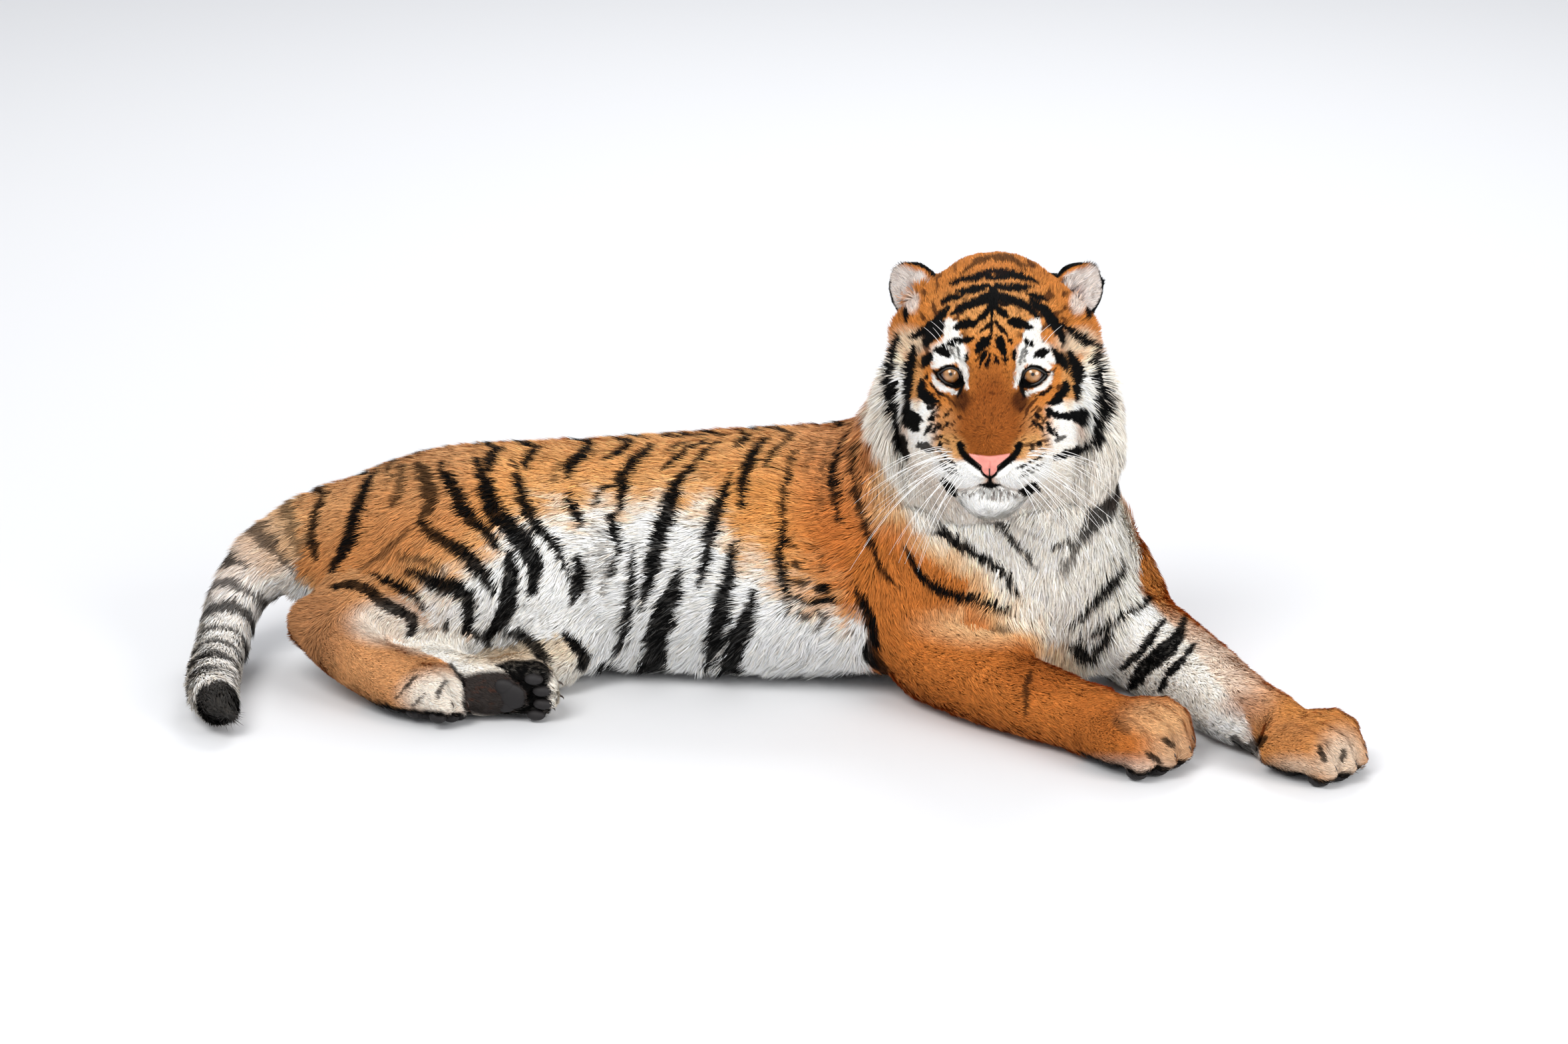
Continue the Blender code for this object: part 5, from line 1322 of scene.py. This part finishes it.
def new_group(name, inputs, outputs):
    """An empty shader group with its named sockets: the group, its start and its end."""
    group = bpy.data.node_groups.new(name, "ShaderNodeTree")
    for way, sockets in (("INPUT", inputs), ("OUTPUT", outputs)):
        for label, kind in sockets:
            group.interface.new_socket(label, in_out=way, socket_type="NodeSocket" + kind)
    return group, group.nodes.new("NodeGroupInput"), group.nodes.new("NodeGroupOutput")


def set_inputs(node, **values):
    """Sets a node's sockets by name, with _ for a space."""
    for label, value in values.items():
        node.inputs[label.replace("_", " ")].default_value = value


def new_material(name):
    material = bpy.data.materials.new(name)
    material.use_nodes = True
    tree = material.node_tree
    return material, tree, tree.nodes["Principled BSDF"]


def hair_finish():
    """The finish of hair: pale hair is a little glossier than dark, over a fine grain."""
    group, given, made = new_group("hair_finish", [
        ("Lightness", "Float"), ("Roughness dark", "Float"), ("Roughness pale", "Float"),
        ("Grain scale", "Float"), ("Relief", "Float")], [("Roughness", "Float"), ("Normal", "Vector")])
    link = group.links.new
    dull = group.nodes.new("ShaderNodeMapRange")
    set_inputs(dull, From_Max=0.6)
    link(given.outputs["Lightness"], dull.inputs["Value"])
    link(given.outputs["Roughness dark"], dull.inputs["To Min"])
    link(given.outputs["Roughness pale"], dull.inputs["To Max"])
    link(dull.outputs["Result"], made.inputs["Roughness"])
    place = group.nodes.new("ShaderNodeTexCoord")
    grain = group.nodes.new("ShaderNodeTexNoise")
    set_inputs(grain, Detail=3)
    raised = group.nodes.new("ShaderNodeBump")
    set_inputs(raised, Distance=0.001)
    link(place.outputs["Object"], grain.inputs["Vector"])
    link(given.outputs["Grain scale"], grain.inputs["Scale"])
    link(grain.outputs["Fac"], raised.inputs["Height"])
    link(given.outputs["Relief"], raised.inputs["Strength"])
    link(raised.outputs["Normal"], made.inputs["Normal"])
    return group


def fur_material(name, roughness, relief, grain_scale):
    material, tree, shader = new_material(name)
    set_inputs(shader, Specular_IOR_Level=0.06)
    colour = tree.nodes.new("ShaderNodeAttribute")
    colour.attribute_name = "pelt"
    tree.links.new(colour.outputs["Color"], shader.inputs["Base Color"])
    finish = tree.nodes.new("ShaderNodeGroup")
    finish.node_tree = hair_group
    set_inputs(finish, Roughness_dark=roughness + 0.15, Roughness_pale=roughness - 0.10,
               Grain_scale=grain_scale, Relief=relief)
    tree.links.new(colour.outputs["Fac"], finish.inputs["Lightness"])
    for label in ("Roughness", "Normal"):
        tree.links.new(finish.outputs[label], shader.inputs[label])
    return material


hair_group = hair_finish()
fur = fur_material("fur", 0.62, 0.15, 900)
under_fur = fur_material("under_fur", 0.85, 0.8, 420)

# The hide takes the coat's colours darkened with painted shade from the coat over it, most where the coat is
# dark.
hide = pelt(skin_points, skin_nodes)
hide_light = smooth_step(0.2, 0.7, hide.mean(1, keepdims=True))
colour_attribute(skin_mesh, hide * (0.68 + 0.24 * hide_light))
smoothed(skin_mesh)
skin_mesh.materials.clear()
skin_mesh.materials.append(under_fur)
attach(skin, "root")
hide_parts(*FLESH)
COAT_GROUPS = {"coat_trunk": ("trunk", "neck"), "coat_tail": TAIL, "coat_fore": both(*FORELEG),
               "coat_hind": both(*HINDLEG), "coat_head": (*SKULL, *EARS)}
for group, names in COAT_GROUPS.items():
    rows = np.nonzero(belongs(tuft_node, *names))[0]
    rows = rows[np.argsort(root[rows, 0], kind="stable")]
    parts = max(1, math.ceil(len(rows) / MOST_IN_A_PIECE))
    for number, some in enumerate(np.array_split(rows, parts), 1):
        piece = coat_piece(f"{group}_{number}", some)
        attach(piece, "root")


# ---- Eyes ---------------------------------------------------------------------------------
# Round glass eyes set deep between the lids: amber iris with fine rays round a small pupil,
# a dark ring at its edge, dark brown beyond it, and a clear bulge over the front.
IRIS_RADIUS, PUPIL_RADIUS, BULGE = 0.0121, 0.0024, 0.0016
IRIS_RINGS, WHITE_RINGS, EYE_SEGMENTS = 32, 14, 112
IRIS_TAN, IRIS_EDGE, IRIS_HEART = srgb(166, 118, 72), srgb(100, 62, 34), srgb(136, 98, 58)
EYE_BROWN, PUPIL_BLACK = srgb(34, 22, 18), srgb(6, 5, 5)


def eye_mesh(name, side):
    centre = EYE_AT * [side, 1, 1]
    ahead = unit(np.array((side * 0.03, -1.0, 0.02)))
    right = unit(np.cross(ahead, (0, 0, 1)))
    above = np.cross(right, ahead)
    edge_angle = math.asin(IRIS_RADIUS * 1.08 / EYE_RADIUS)
    angles = np.concatenate([np.linspace(0, edge_angle, IRIS_RINGS, endpoint=False),
                             np.linspace(edge_angle, math.radians(150), WHITE_RINGS)])[1:]
    turns = np.linspace(0, 2 * math.pi, EYE_SEGMENTS, endpoint=False)
    swell = np.clip(1 - (EYE_RADIUS * np.sin(angles) / (IRIS_RADIUS * 1.05)) ** 2, 0, 1) ** 1.5
    swell = np.where(angles < math.pi / 2, swell, 0) * BULGE
    forward = EYE_RADIUS * np.cos(angles) + swell
    outward = EYE_RADIUS * np.sin(angles)
    ring = np.cos(turns)[:, None] * right + np.sin(turns)[:, None] * above
    places = centre + forward[:, None, None] * ahead + outward[:, None, None] * ring[None]
    places = np.concatenate([(centre + ahead * (EYE_RADIUS + BULGE))[None], places.reshape(-1, 3),
                             (centre - ahead * EYE_RADIUS * 0.9)[None]])
    faces = []
    last = len(places) - 1
    for k in range(EYE_SEGMENTS):
        n = (k + 1) % EYE_SEGMENTS
        faces.append((0, 1 + k, 1 + n))
        for row in range(len(angles) - 1):
            base, over = 1 + row * EYE_SEGMENTS, 1 + (row + 1) * EYE_SEGMENTS
            faces.append((base + k, over + k, over + n, base + n))
        base = 1 + (len(angles) - 1) * EYE_SEGMENTS
        faces.append((base + k, last, base + n))
    mesh = bpy.data.meshes.new(name)
    mesh.from_pydata(out_of_head(places).tolist(), [], faces)
    out = np.concatenate([[0], np.repeat(outward, EYE_SEGMENTS), [0]])
    front = np.concatenate([[1], np.repeat(angles < math.pi / 2, EYE_SEGMENTS), [0]])
    turn = np.concatenate([[0], np.tile(turns, len(angles)), [0]])
    t = out / IRIS_RADIUS
    rays = np.stack([np.cos(turn) * 9, np.sin(turn) * 9, t * 1.6], 1)
    ray = 0.55 * lattice_noise(rays, 1.0, 31) + 0.45 * lattice_noise(rays * [2.7, 2.7, 1], 1.0, 32)
    colour = inked(IRIS_HEART, smooth_step(0.25, 0.5, t), IRIS_TAN)
    colour = inked(colour, smooth_step(0.62, 0.95, t), IRIS_EDGE)
    colour = colour * (0.78 + 0.44 * ray)[:, None]
    colour = inked(colour, smooth_step(0.93, 1.0, t), EYE_BROWN)
    colour = inked(colour, 1 - front, EYE_BROWN)
    colour = inked(colour, smooth_step(PUPIL_RADIUS * 1.12, PUPIL_RADIUS * 0.9, out) * front, PUPIL_BLACK)
    colour_attribute(mesh, colour)
    mesh.update()
    smoothed(mesh)
    return mesh


def glossy(name, roughness, coat):
    """A moist surface that takes its colour from the piece: the material, its tree and shader."""
    material, tree, shader = new_material(name)
    set_inputs(shader, Roughness=roughness, Coat_Weight=coat, Coat_Roughness=0.03)
    colour = tree.nodes.new("ShaderNodeAttribute")
    colour.attribute_name = "pelt"
    tree.links.new(colour.outputs["Color"], shader.inputs["Base Color"])
    return material, tree, shader


eye_glass, _, _ = glossy("eye_glass", 0.18, 1.0)
for side, name in ((-1, "eye_right"), (1, "eye_left")):
    eye = stood("glass_" + name, eye_mesh("glass_" + name, side), eye_glass)
    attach(eye, "root")
    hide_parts(name)


# ---- Lids and whiskers --------------------------------------------------------------------
# The wet black rim of each lid follows the almond of the eye. Whiskers are stiff white hairs
# set in rows on the muzzle and over the eyes, thick at the root and drawn out to nothing.
def strand_tree(name, material, sides):
    """Gives every line of a mesh a round body that may taper from its start to its end."""
    tree = bpy.data.node_groups.new(name, "GeometryNodeTree")
    tree.interface.new_socket("Lines", in_out="INPUT", socket_type="NodeSocketGeometry")
    for label in ("Root radius", "Tip radius"):
        tree.interface.new_socket(label, in_out="INPUT", socket_type="NodeSocketFloat")
    tree.interface.new_socket("Strands", in_out="OUTPUT", socket_type="NodeSocketGeometry")
    start, end = tree.nodes.new("NodeGroupInput"), tree.nodes.new("NodeGroupOutput")
    lines = tree.nodes.new("GeometryNodeMeshToCurve")
    along = tree.nodes.new("GeometryNodeSplineParameter")
    taper = tree.nodes.new("ShaderNodeMapRange")
    radius = tree.nodes.new("GeometryNodeSetCurveRadius")
    circle = tree.nodes.new("GeometryNodeCurvePrimitiveCircle")
    set_inputs(circle, Resolution=sides, Radius=1.0)
    body = tree.nodes.new("GeometryNodeCurveToMesh")
    set_inputs(body, Fill_Caps=True)
    whole = tree.nodes.new("GeometryNodeRealizeInstances")
    finish = tree.nodes.new("GeometryNodeSetMaterial")
    set_inputs(finish, Material=material)
    for source, output, target, socket in [
            (start, "Lines", lines, "Mesh"), (along, "Factor", taper, "Value"),
            (start, "Root radius", taper, "To Min"), (start, "Tip radius", taper, "To Max"),
            (lines, "Curve", radius, "Curve"), (taper, "Result", radius, "Radius"),
            (radius, "Curve", body, "Curve"), (circle, "Curve", body, "Profile Curve"),
            (body, "Mesh", whole, "Geometry"), (whole, "Geometry", finish, "Geometry"),
            (finish, "Geometry", end, "Strands")]:
        tree.links.new(source.outputs[output], target.inputs[socket])
    if "Scale" in body.inputs:
        tree.links.new(taper.outputs["Result"], body.inputs["Scale"])
    return tree


def strands(name, lines, tree, radii, closed=False):
    """Lines of points made into one plain mesh by the tree."""
    verts, edges = [], []
    for line in lines:
        first = len(verts)
        verts += [tuple(p) for p in line]
        edges += [(first + i, first + i + 1) for i in range(len(line) - 1)]
        if closed:
            edges.append((len(verts) - 1, first))
    guide = bpy.data.meshes.new(name)
    guide.from_pydata(verts, edges, [])
    piece = stood(name, guide)
    grown = piece.modifiers.new("strands", "NODES")
    grown.node_group = tree
    sockets = {item.name: item.identifier for item in tree.interface.items_tree}
    grown[sockets["Root radius"]], grown[sockets["Tip radius"]] = radii
    graph = bpy.context.evaluated_depsgraph_get()
    made = bpy.data.meshes.new_from_object(piece.evaluated_get(graph), depsgraph=graph)
    piece.modifiers.clear()
    piece.data = made
    smoothed(made)
    return piece


def mottle():
    """A colour that wanders softly between a darker and a lighter shade."""
    group, given, made = new_group(
        "mottle", [("Darker", "Color"), ("Lighter", "Color")], [("Colour", "Color")])
    place = group.nodes.new("ShaderNodeTexCoord")
    cloud = group.nodes.new("ShaderNodeTexNoise")
    set_inputs(cloud, Scale=160)
    blend = group.nodes.new("ShaderNodeMixRGB")
    group.links.new(place.outputs["Object"], cloud.inputs["Vector"])
    group.links.new(cloud.outputs["Fac"], blend.inputs["Fac"])
    group.links.new(given.outputs["Darker"], blend.inputs["Color1"])
    group.links.new(given.outputs["Lighter"], blend.inputs["Color2"])
    group.links.new(blend.outputs["Color"], made.inputs["Colour"])
    return group


def mottled(name, colour, roughness, coat=0.0):
    material, tree, shader = new_material(name)
    set_inputs(shader, Roughness=roughness, Coat_Weight=coat)
    shade = tree.nodes.new("ShaderNodeGroup")
    shade.node_tree = mottle_group
    set_inputs(shade, Darker=(*(colour * 0.75), 1), Lighter=(*np.minimum(colour * 1.2, 0.95), 1))
    tree.links.new(shade.outputs["Colour"], shader.inputs["Base Color"])
    return material


mottle_group = mottle()


LID_POINTS, RIM_RADIUS, RIM_OFF_EYE = 72, 0.0017, 0.0016


def lid_line(side):
    """The edge of the opening between the lids, lying on the eyeball."""
    turn = np.linspace(0, 2 * math.pi, LID_POINTS, endpoint=False)
    u = np.cos(turn)
    arch = 1 - np.abs(u) ** LID_ARCH
    v = np.where(np.sin(turn) > 0, LID_RISE, -LID_FALL) * arch
    seen = LID_MIDDLE + u[:, None] * LID_HALF * LID_ALONG + v[:, None] * LID_UP
    lid_radius = EYE_RADIUS + RIM_OFF_EYE
    depth = np.sqrt(np.maximum(lid_radius ** 2 - (seen ** 2).sum(1), 1.5e-5))
    line = np.stack([seen[:, 0] + EYE_AT[0], EYE_AT[1] - depth, seen[:, 1] + EYE_AT[2]], 1)
    return out_of_head(line * [side, 1, 1])


lid_leather = mottled("lid_leather", srgb(14, 11, 11), 0.5, 0.1)
lids = strands("lid_rims", [lid_line(-1), lid_line(1)],
               strand_tree("lid_rim", lid_leather, 8), (RIM_RADIUS, RIM_RADIUS), closed=True)
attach(lids, "root")

WHISKER_ROWS = [
    # across, up, how far out, how far down, shortest, longest
    (0.066, -0.070, 0.96, 0.04, 0.090, 0.130), (0.060, -0.078, 0.95, -0.08, 0.110, 0.160),
    (0.054, -0.086, 0.92, -0.24, 0.120, 0.180), (0.050, -0.095, 0.84, -0.42, 0.110, 0.175),
    (0.046, -0.103, 0.70, -0.62, 0.090, 0.150),
]
WHISKERS_IN_A_ROW, WHISKER_GAP, WHISKER_SCATTER = 6, (0.0038, 0.0016), 0.001
BROW_WHISKERS, BROW_GAP = [(0.050, 0.066, 0.030, 0.055), (0.062, 0.060, 0.030, 0.050)], (0.006, 0.004)
WHISKER_RADII = (0.00046, 0.00012)
BEFORE_FACE = -0.25


def head_surface(x, z):
    """The place on the hide at this spot of the face."""
    start = out_of_head(np.array([[x, BEFORE_FACE, z]]))[0]
    way = HEAD_TURN @ np.array((0, 1.0, 0))
    found = skin_tree.ray_cast(Vector(start), Vector(way))[0]
    return in_head(np.array([found]))[0] if found else np.array((x, -0.1, z))


def whisker(base, way, reach, sweep, points):
    t = np.linspace(0, 1, points)[:, None]
    return out_of_head(base + unit(np.array(way)) * reach * t + np.array(sweep) * reach * t ** 2)


skin_tree = BVHTree.FromPolygons(skin_points.tolist(), skin_tris.tolist())
whisker_rng = np.random.default_rng(7)
whisker_lines = []
for side in (-1, 1):
    for x, z, out, down, short, long in WHISKER_ROWS:
        for place in range(WHISKERS_IN_A_ROW):
            at_x = side * (x - WHISKER_GAP[0] * place + whisker_rng.normal(0, WHISKER_SCATTER))
            at_z = z - WHISKER_GAP[1] * place + whisker_rng.normal(0, WHISKER_SCATTER)
            reach = whisker_rng.uniform(short, long) * (1 - 0.08 * place)
            way = (side * out, -0.42 + 0.10 * place, down + whisker_rng.normal(0, 0.15))
            sweep = (side * 0.02, 0.42, -whisker_rng.uniform(0.20, 0.70))
            whisker_lines.append(whisker(head_surface(at_x, at_z), way, reach, sweep, 12))
    for x, z, short, long in BROW_WHISKERS:
        for place in range(2):
            base = head_surface(side * (x + BROW_GAP[0] * place), z + BROW_GAP[1] * place)
            reach = whisker_rng.uniform(short, long)
            way = (side * (0.25 + 0.2 * place), -0.45, 0.85)
            whisker_lines.append(whisker(base, way, reach, (side * 0.20, 0.35, -0.10), 10))
whisker_hair = mottled("whisker_hair", srgb(255, 254, 250), 0.45)
whiskers = strands("whiskers", whisker_lines, strand_tree("whisker", whisker_hair, 5), WHISKER_RADII)
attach(whiskers, "root")


# ---- Nose ---------------------------------------------------------------------------------
# Bare leather, pink with black borders: broad at the top, drawn in to the split of the lip,
# with a comma-shaped nostril under each wing.
NOSE_OUTLINE = [  # up, half width
    (-0.0735, 0.0330), (-0.0775, 0.0345), (-0.0830, 0.0300), (-0.0880, 0.0235),
    (-0.0930, 0.0165), (-0.0975, 0.0115), (-0.1020, 0.0105), (-0.1060, 0.0070), (-0.1095, 0.0022)]
NOSE_TOP_DIP = 0.0065  # how far the top edge sags at the middle
NOSE_PINK, NOSE_BLACK = srgb(214, 132, 120), srgb(26, 18, 18)
NOSTRIL = [(0.0345, -0.0745), (0.0300, -0.0835), (0.0215, -0.0905), (0.0140, -0.0965)]
NOSE_COLUMNS, NOSE_ROWS = 57, 45


def nose_mesh():
    heights, widths = np.array(NOSE_OUTLINE).T
    rows = np.linspace(0, 1, NOSE_ROWS)
    z_line = heights[0] + rows * (heights[-1] - heights[0])
    half = np.interp(-z_line, -heights, widths)
    s = np.linspace(-1.12, 1.12, NOSE_COLUMNS)
    x = s[None] * half[:, None]
    z = np.repeat(z_line[:, None], NOSE_COLUMNS, 1)
    z = z - NOSE_TOP_DIP * (1 - np.clip(np.abs(s), 0, 1)[None] ** 1.6) * (1 - rows[:, None]) ** 2
    flat = np.stack([x.ravel(), z.ravel()], 1)
    places = np.array([head_surface(px, pz) for px, pz in flat])
    edge = np.abs(np.tile(s, NOSE_ROWS))
    rim = np.minimum(smooth_step(1.10, 0.88, edge), np.repeat(
        smooth_step(0.0, 0.10, rows) * smooth_step(1.0, 0.94, rows), NOSE_COLUMNS))
    raised = -0.0022 + 0.0056 * rim
    hole = line_distance(np.abs(flat) * [1, -1], NOSTRIL)
    raised -= 0.0065 * smooth_step(0.0034, 0.0012, hole) * rim
    raised -= 0.0018 * smooth_step(0.0016, 0.0004, np.abs(flat[:, 0])) * (flat[:, 1] < -0.088) * rim
    places[:, 1] -= raised
    soft = places.reshape(NOSE_ROWS, NOSE_COLUMNS, 3).copy()
    for _ in range(3):
        soft[1:-1, 1:-1, 1] = (soft[1:-1, 1:-1, 1] * 2 + soft[:-2, 1:-1, 1] + soft[2:, 1:-1, 1]
                               + soft[1:-1, :-2, 1] + soft[1:-1, 2:, 1]) / 6
    faces = []
    for i in range(NOSE_ROWS - 1):
        for j in range(NOSE_COLUMNS - 1):
            a = i * NOSE_COLUMNS + j
            faces.append((a, a + NOSE_COLUMNS, a + NOSE_COLUMNS + 1, a + 1))
    mesh = bpy.data.meshes.new("nose_leather")
    mesh.from_pydata(out_of_head(soft.reshape(-1, 3)).tolist(), [], faces)
    border = smooth_step(0.0046, 0.0030, hole)
    border = np.maximum(border, smooth_step(0.90, 1.0, edge) * (flat[:, 1] < -0.090))
    border = np.maximum(border, smooth_step(0.0014, 0.0006, np.abs(flat[:, 0])) * (flat[:, 1] < -0.098))
    mottle = lattice_noise(places, 0.004, 33)
    colour = NOSE_PINK * (0.86 + 0.24 * mottle)[:, None]
    colour_attribute(mesh, inked(colour, border, NOSE_BLACK))
    mesh.update()
    smoothed(mesh)
    return mesh


def nose_leather():
    """Moist leather with fine pores."""
    material, tree, shader = glossy("nose_leather", 0.38, 0.25)
    place = tree.nodes.new("ShaderNodeTexCoord")
    pores = tree.nodes.new("ShaderNodeTexVoronoi")
    set_inputs(pores, Scale=1100)
    raised = tree.nodes.new("ShaderNodeBump")
    set_inputs(raised, Strength=0.5, Distance=0.0006)
    tree.links.new(place.outputs["Object"], pores.inputs["Vector"])
    tree.links.new(pores.outputs["Distance"], raised.inputs["Height"])
    tree.links.new(raised.outputs["Normal"], shader.inputs["Normal"])
    return material


nose = stood("nose_pad", nose_mesh())
shell = nose.modifiers.new("thickness", "SOLIDIFY")
shell.thickness, shell.offset = 0.0015, -1
nose.data = bpy.data.meshes.new_from_object(nose.evaluated_get(bpy.context.evaluated_depsgraph_get()))
nose.modifiers.clear()
nose.data.materials.append(nose_leather())
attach(nose, "root")
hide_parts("nose")


# ---- Foot pads ----------------------------------------------------------------------------
# Black leather under each foot: a broad three-lobed pad and one under each toe. The left hind
# foot lies on its side and shows its sole.
PAD_BLACK = srgb(22, 17, 18)
SOLE_PADS = [  # middle (ahead, sideways, up) and half sizes, as shares of the foot's own
    (0.40, 0.0, -0.36, 0.20, 0.23, 0.13), (0.30, -0.16, -0.35, 0.15, 0.14, 0.12),
    (0.30, 0.16, -0.35, 0.15, 0.14, 0.12),
    *((0.80 - 0.9 * spread * spread, spread * 0.96, -0.36, 0.12, 0.088, 0.11) for spread in TOE_SPREADS)]
LOWEST_SOLE = 0.0008


def settled(bm, name):
    """The finished mesh of a foot's small parts, with nothing under the floor."""
    for vertex in bm.verts:
        vertex.co.z = max(vertex.co.z, LOWEST_SOLE)
    mesh = bpy.data.meshes.new(name)
    bm.to_mesh(mesh)
    bm.free()
    smoothed(mesh)
    return mesh


def foot_pads(name):
    wrist, axes, size = foot_frame(name)
    bm = bmesh.new()
    for *middle, rx, ry, rz in SOLE_PADS:
        centre = wrist + np.array(middle) * size @ axes
        place = Matrix.Translation(centre) @ Matrix(axes.T.tolist()).to_4x4()
        half_sizes = Matrix.Diagonal((*np.array((rx, ry, rz)) * size, 1))
        bmesh.ops.create_icosphere(bm, subdivisions=3, radius=1, matrix=place @ half_sizes)
    return settled(bm, name + "_pads")


pad_leather = mottled("pad_leather", PAD_BLACK, 0.68)
for foot in FEET:
    pads = stood(foot + "_pads", foot_pads(foot), pad_leather)
    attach(pads, "root")


# ---- Claws --------------------------------------------------------------------------------
# Hooked claws of grey-brown horn, drawn back at rest, so that only a dark tip shows in the fur
# at the end of each toe.
CLAW_HORN = srgb(58, 46, 40)
CLAW_REACH, CLAW_HALF_WIDTH, CLAW_RINGS, CLAW_SIDES = 0.017, 0.0027, 9, 10
CLAW_BEND, CLAW_TAPER, CLAW_FLATNESS = 1.5, 0.94, 0.7


def foot_claws(name):
    wrist, axes, size = foot_frame(name)
    verts, faces = [], []
    for spread in TOE_SPREADS:
        tip_of_toe = np.array((0.96 - 1.15 * spread * spread, spread, -0.05)) * size
        first = len(verts)
        for ring in range(CLAW_RINGS):
            t = ring / (CLAW_RINGS - 1)
            bend = CLAW_BEND * t
            middle = tip_of_toe + np.array((math.sin(bend), 0, math.cos(bend) - 1)) * CLAW_REACH * 0.62
            slope = np.array((math.sin(bend), 0, math.cos(bend)))
            half = CLAW_HALF_WIDTH * (1 - CLAW_TAPER * t)
            for turn in np.linspace(0, 2 * math.pi, CLAW_SIDES, endpoint=False):
                around = np.array((0, math.cos(turn), 0)) * CLAW_FLATNESS + slope * math.sin(turn)
                verts.append(wrist + (middle + around * half) @ axes)
        for ring in range(CLAW_RINGS - 1):
            for k in range(CLAW_SIDES):
                a, b = first + ring * CLAW_SIDES + k, first + ring * CLAW_SIDES + (k + 1) % CLAW_SIDES
                faces.append((a, b, b + CLAW_SIDES, a + CLAW_SIDES))
        last = first + (CLAW_RINGS - 1) * CLAW_SIDES
        faces.append(tuple(range(last, last + CLAW_SIDES)))
        faces.append(tuple(range(first + CLAW_SIDES - 1, first - 1, -1)))
    bm = bmesh.new()
    corners = [bm.verts.new(place) for place in verts]
    for face in faces:
        bm.faces.new([corners[i] for i in face])
    bmesh.ops.recalc_face_normals(bm, faces=bm.faces)
    return settled(bm, name + "_claws")


claw_horn = mottled("claw_horn", CLAW_HORN, 0.32, 0.3)
for foot in FEET:
    claws = stood(foot + "_claws", foot_claws(foot), claw_horn)
    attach(claws, "root")


# ---- Floor, light and camera --------------------------------------------------------------
# A plain pale floor under soft studio light: one broad lamp high to the left of the camera,
# a wide fill from the other side and a pale surround.
floor_mesh = bpy.data.meshes.new("floor")
floor_mesh.from_pydata([(-30, -12, 0), (30, -12, 0), (30, 40, 0), (-30, 40, 0)], [], [(0, 1, 2, 3)])
floor_paint, _, floor_shader = new_material("floor_paint")
set_inputs(floor_shader, Base_Color=(0.74, 0.75, 0.77, 1), Roughness=0.85)
floor = stood("floor", floor_mesh, floor_paint)


def aimed(name, data, place, aim):
    """Stands a lamp or a camera at a place and turns it towards another."""
    stand = stood(name, data)
    stand.location = place
    stand.rotation_euler = (Vector(aim) - Vector(place)).to_track_quat("-Z", "Y").to_euler()
    return stand


def lamp(name, place, aim, size, power, colour):
    data = bpy.data.lights.new(name, "AREA")
    data.shape, data.size, data.energy, data.color = "DISK", size, power, colour
    aimed(name, data, place, aim)


lamp("key_light", (-2.2, -3.4, 4.6), (0.0, 0.0, 0.25), 3.2, 235, (1.0, 0.985, 0.96))
lamp("fill_light", (3.6, -3.0, 2.2), (0.2, 0.0, 0.25), 3.0, 150, (1.0, 0.99, 0.97))
lamp("rim_light", (0.5, 3.6, 3.6), (0.0, 0.0, 0.3), 2.4, 90, (1.0, 1.0, 1.0))
world = bpy.data.worlds.new("surround")
world.use_nodes = True
set_inputs(world.node_tree.nodes["Background"], Color=(0.96, 0.97, 1.0, 1), Strength=0.62)
bpy.context.scene.world = world
bpy.context.scene.view_settings.view_transform = "Standard"

camera_data = bpy.data.cameras.new("camera")
camera_data.lens, camera_data.sensor_width = 142.56, 36.0
camera_data.clip_end = 60
bpy.context.scene.camera = aimed("camera", camera_data, (0.0234, -8.3477, 2.9812), (0.0234, 0.2118, 0.2))
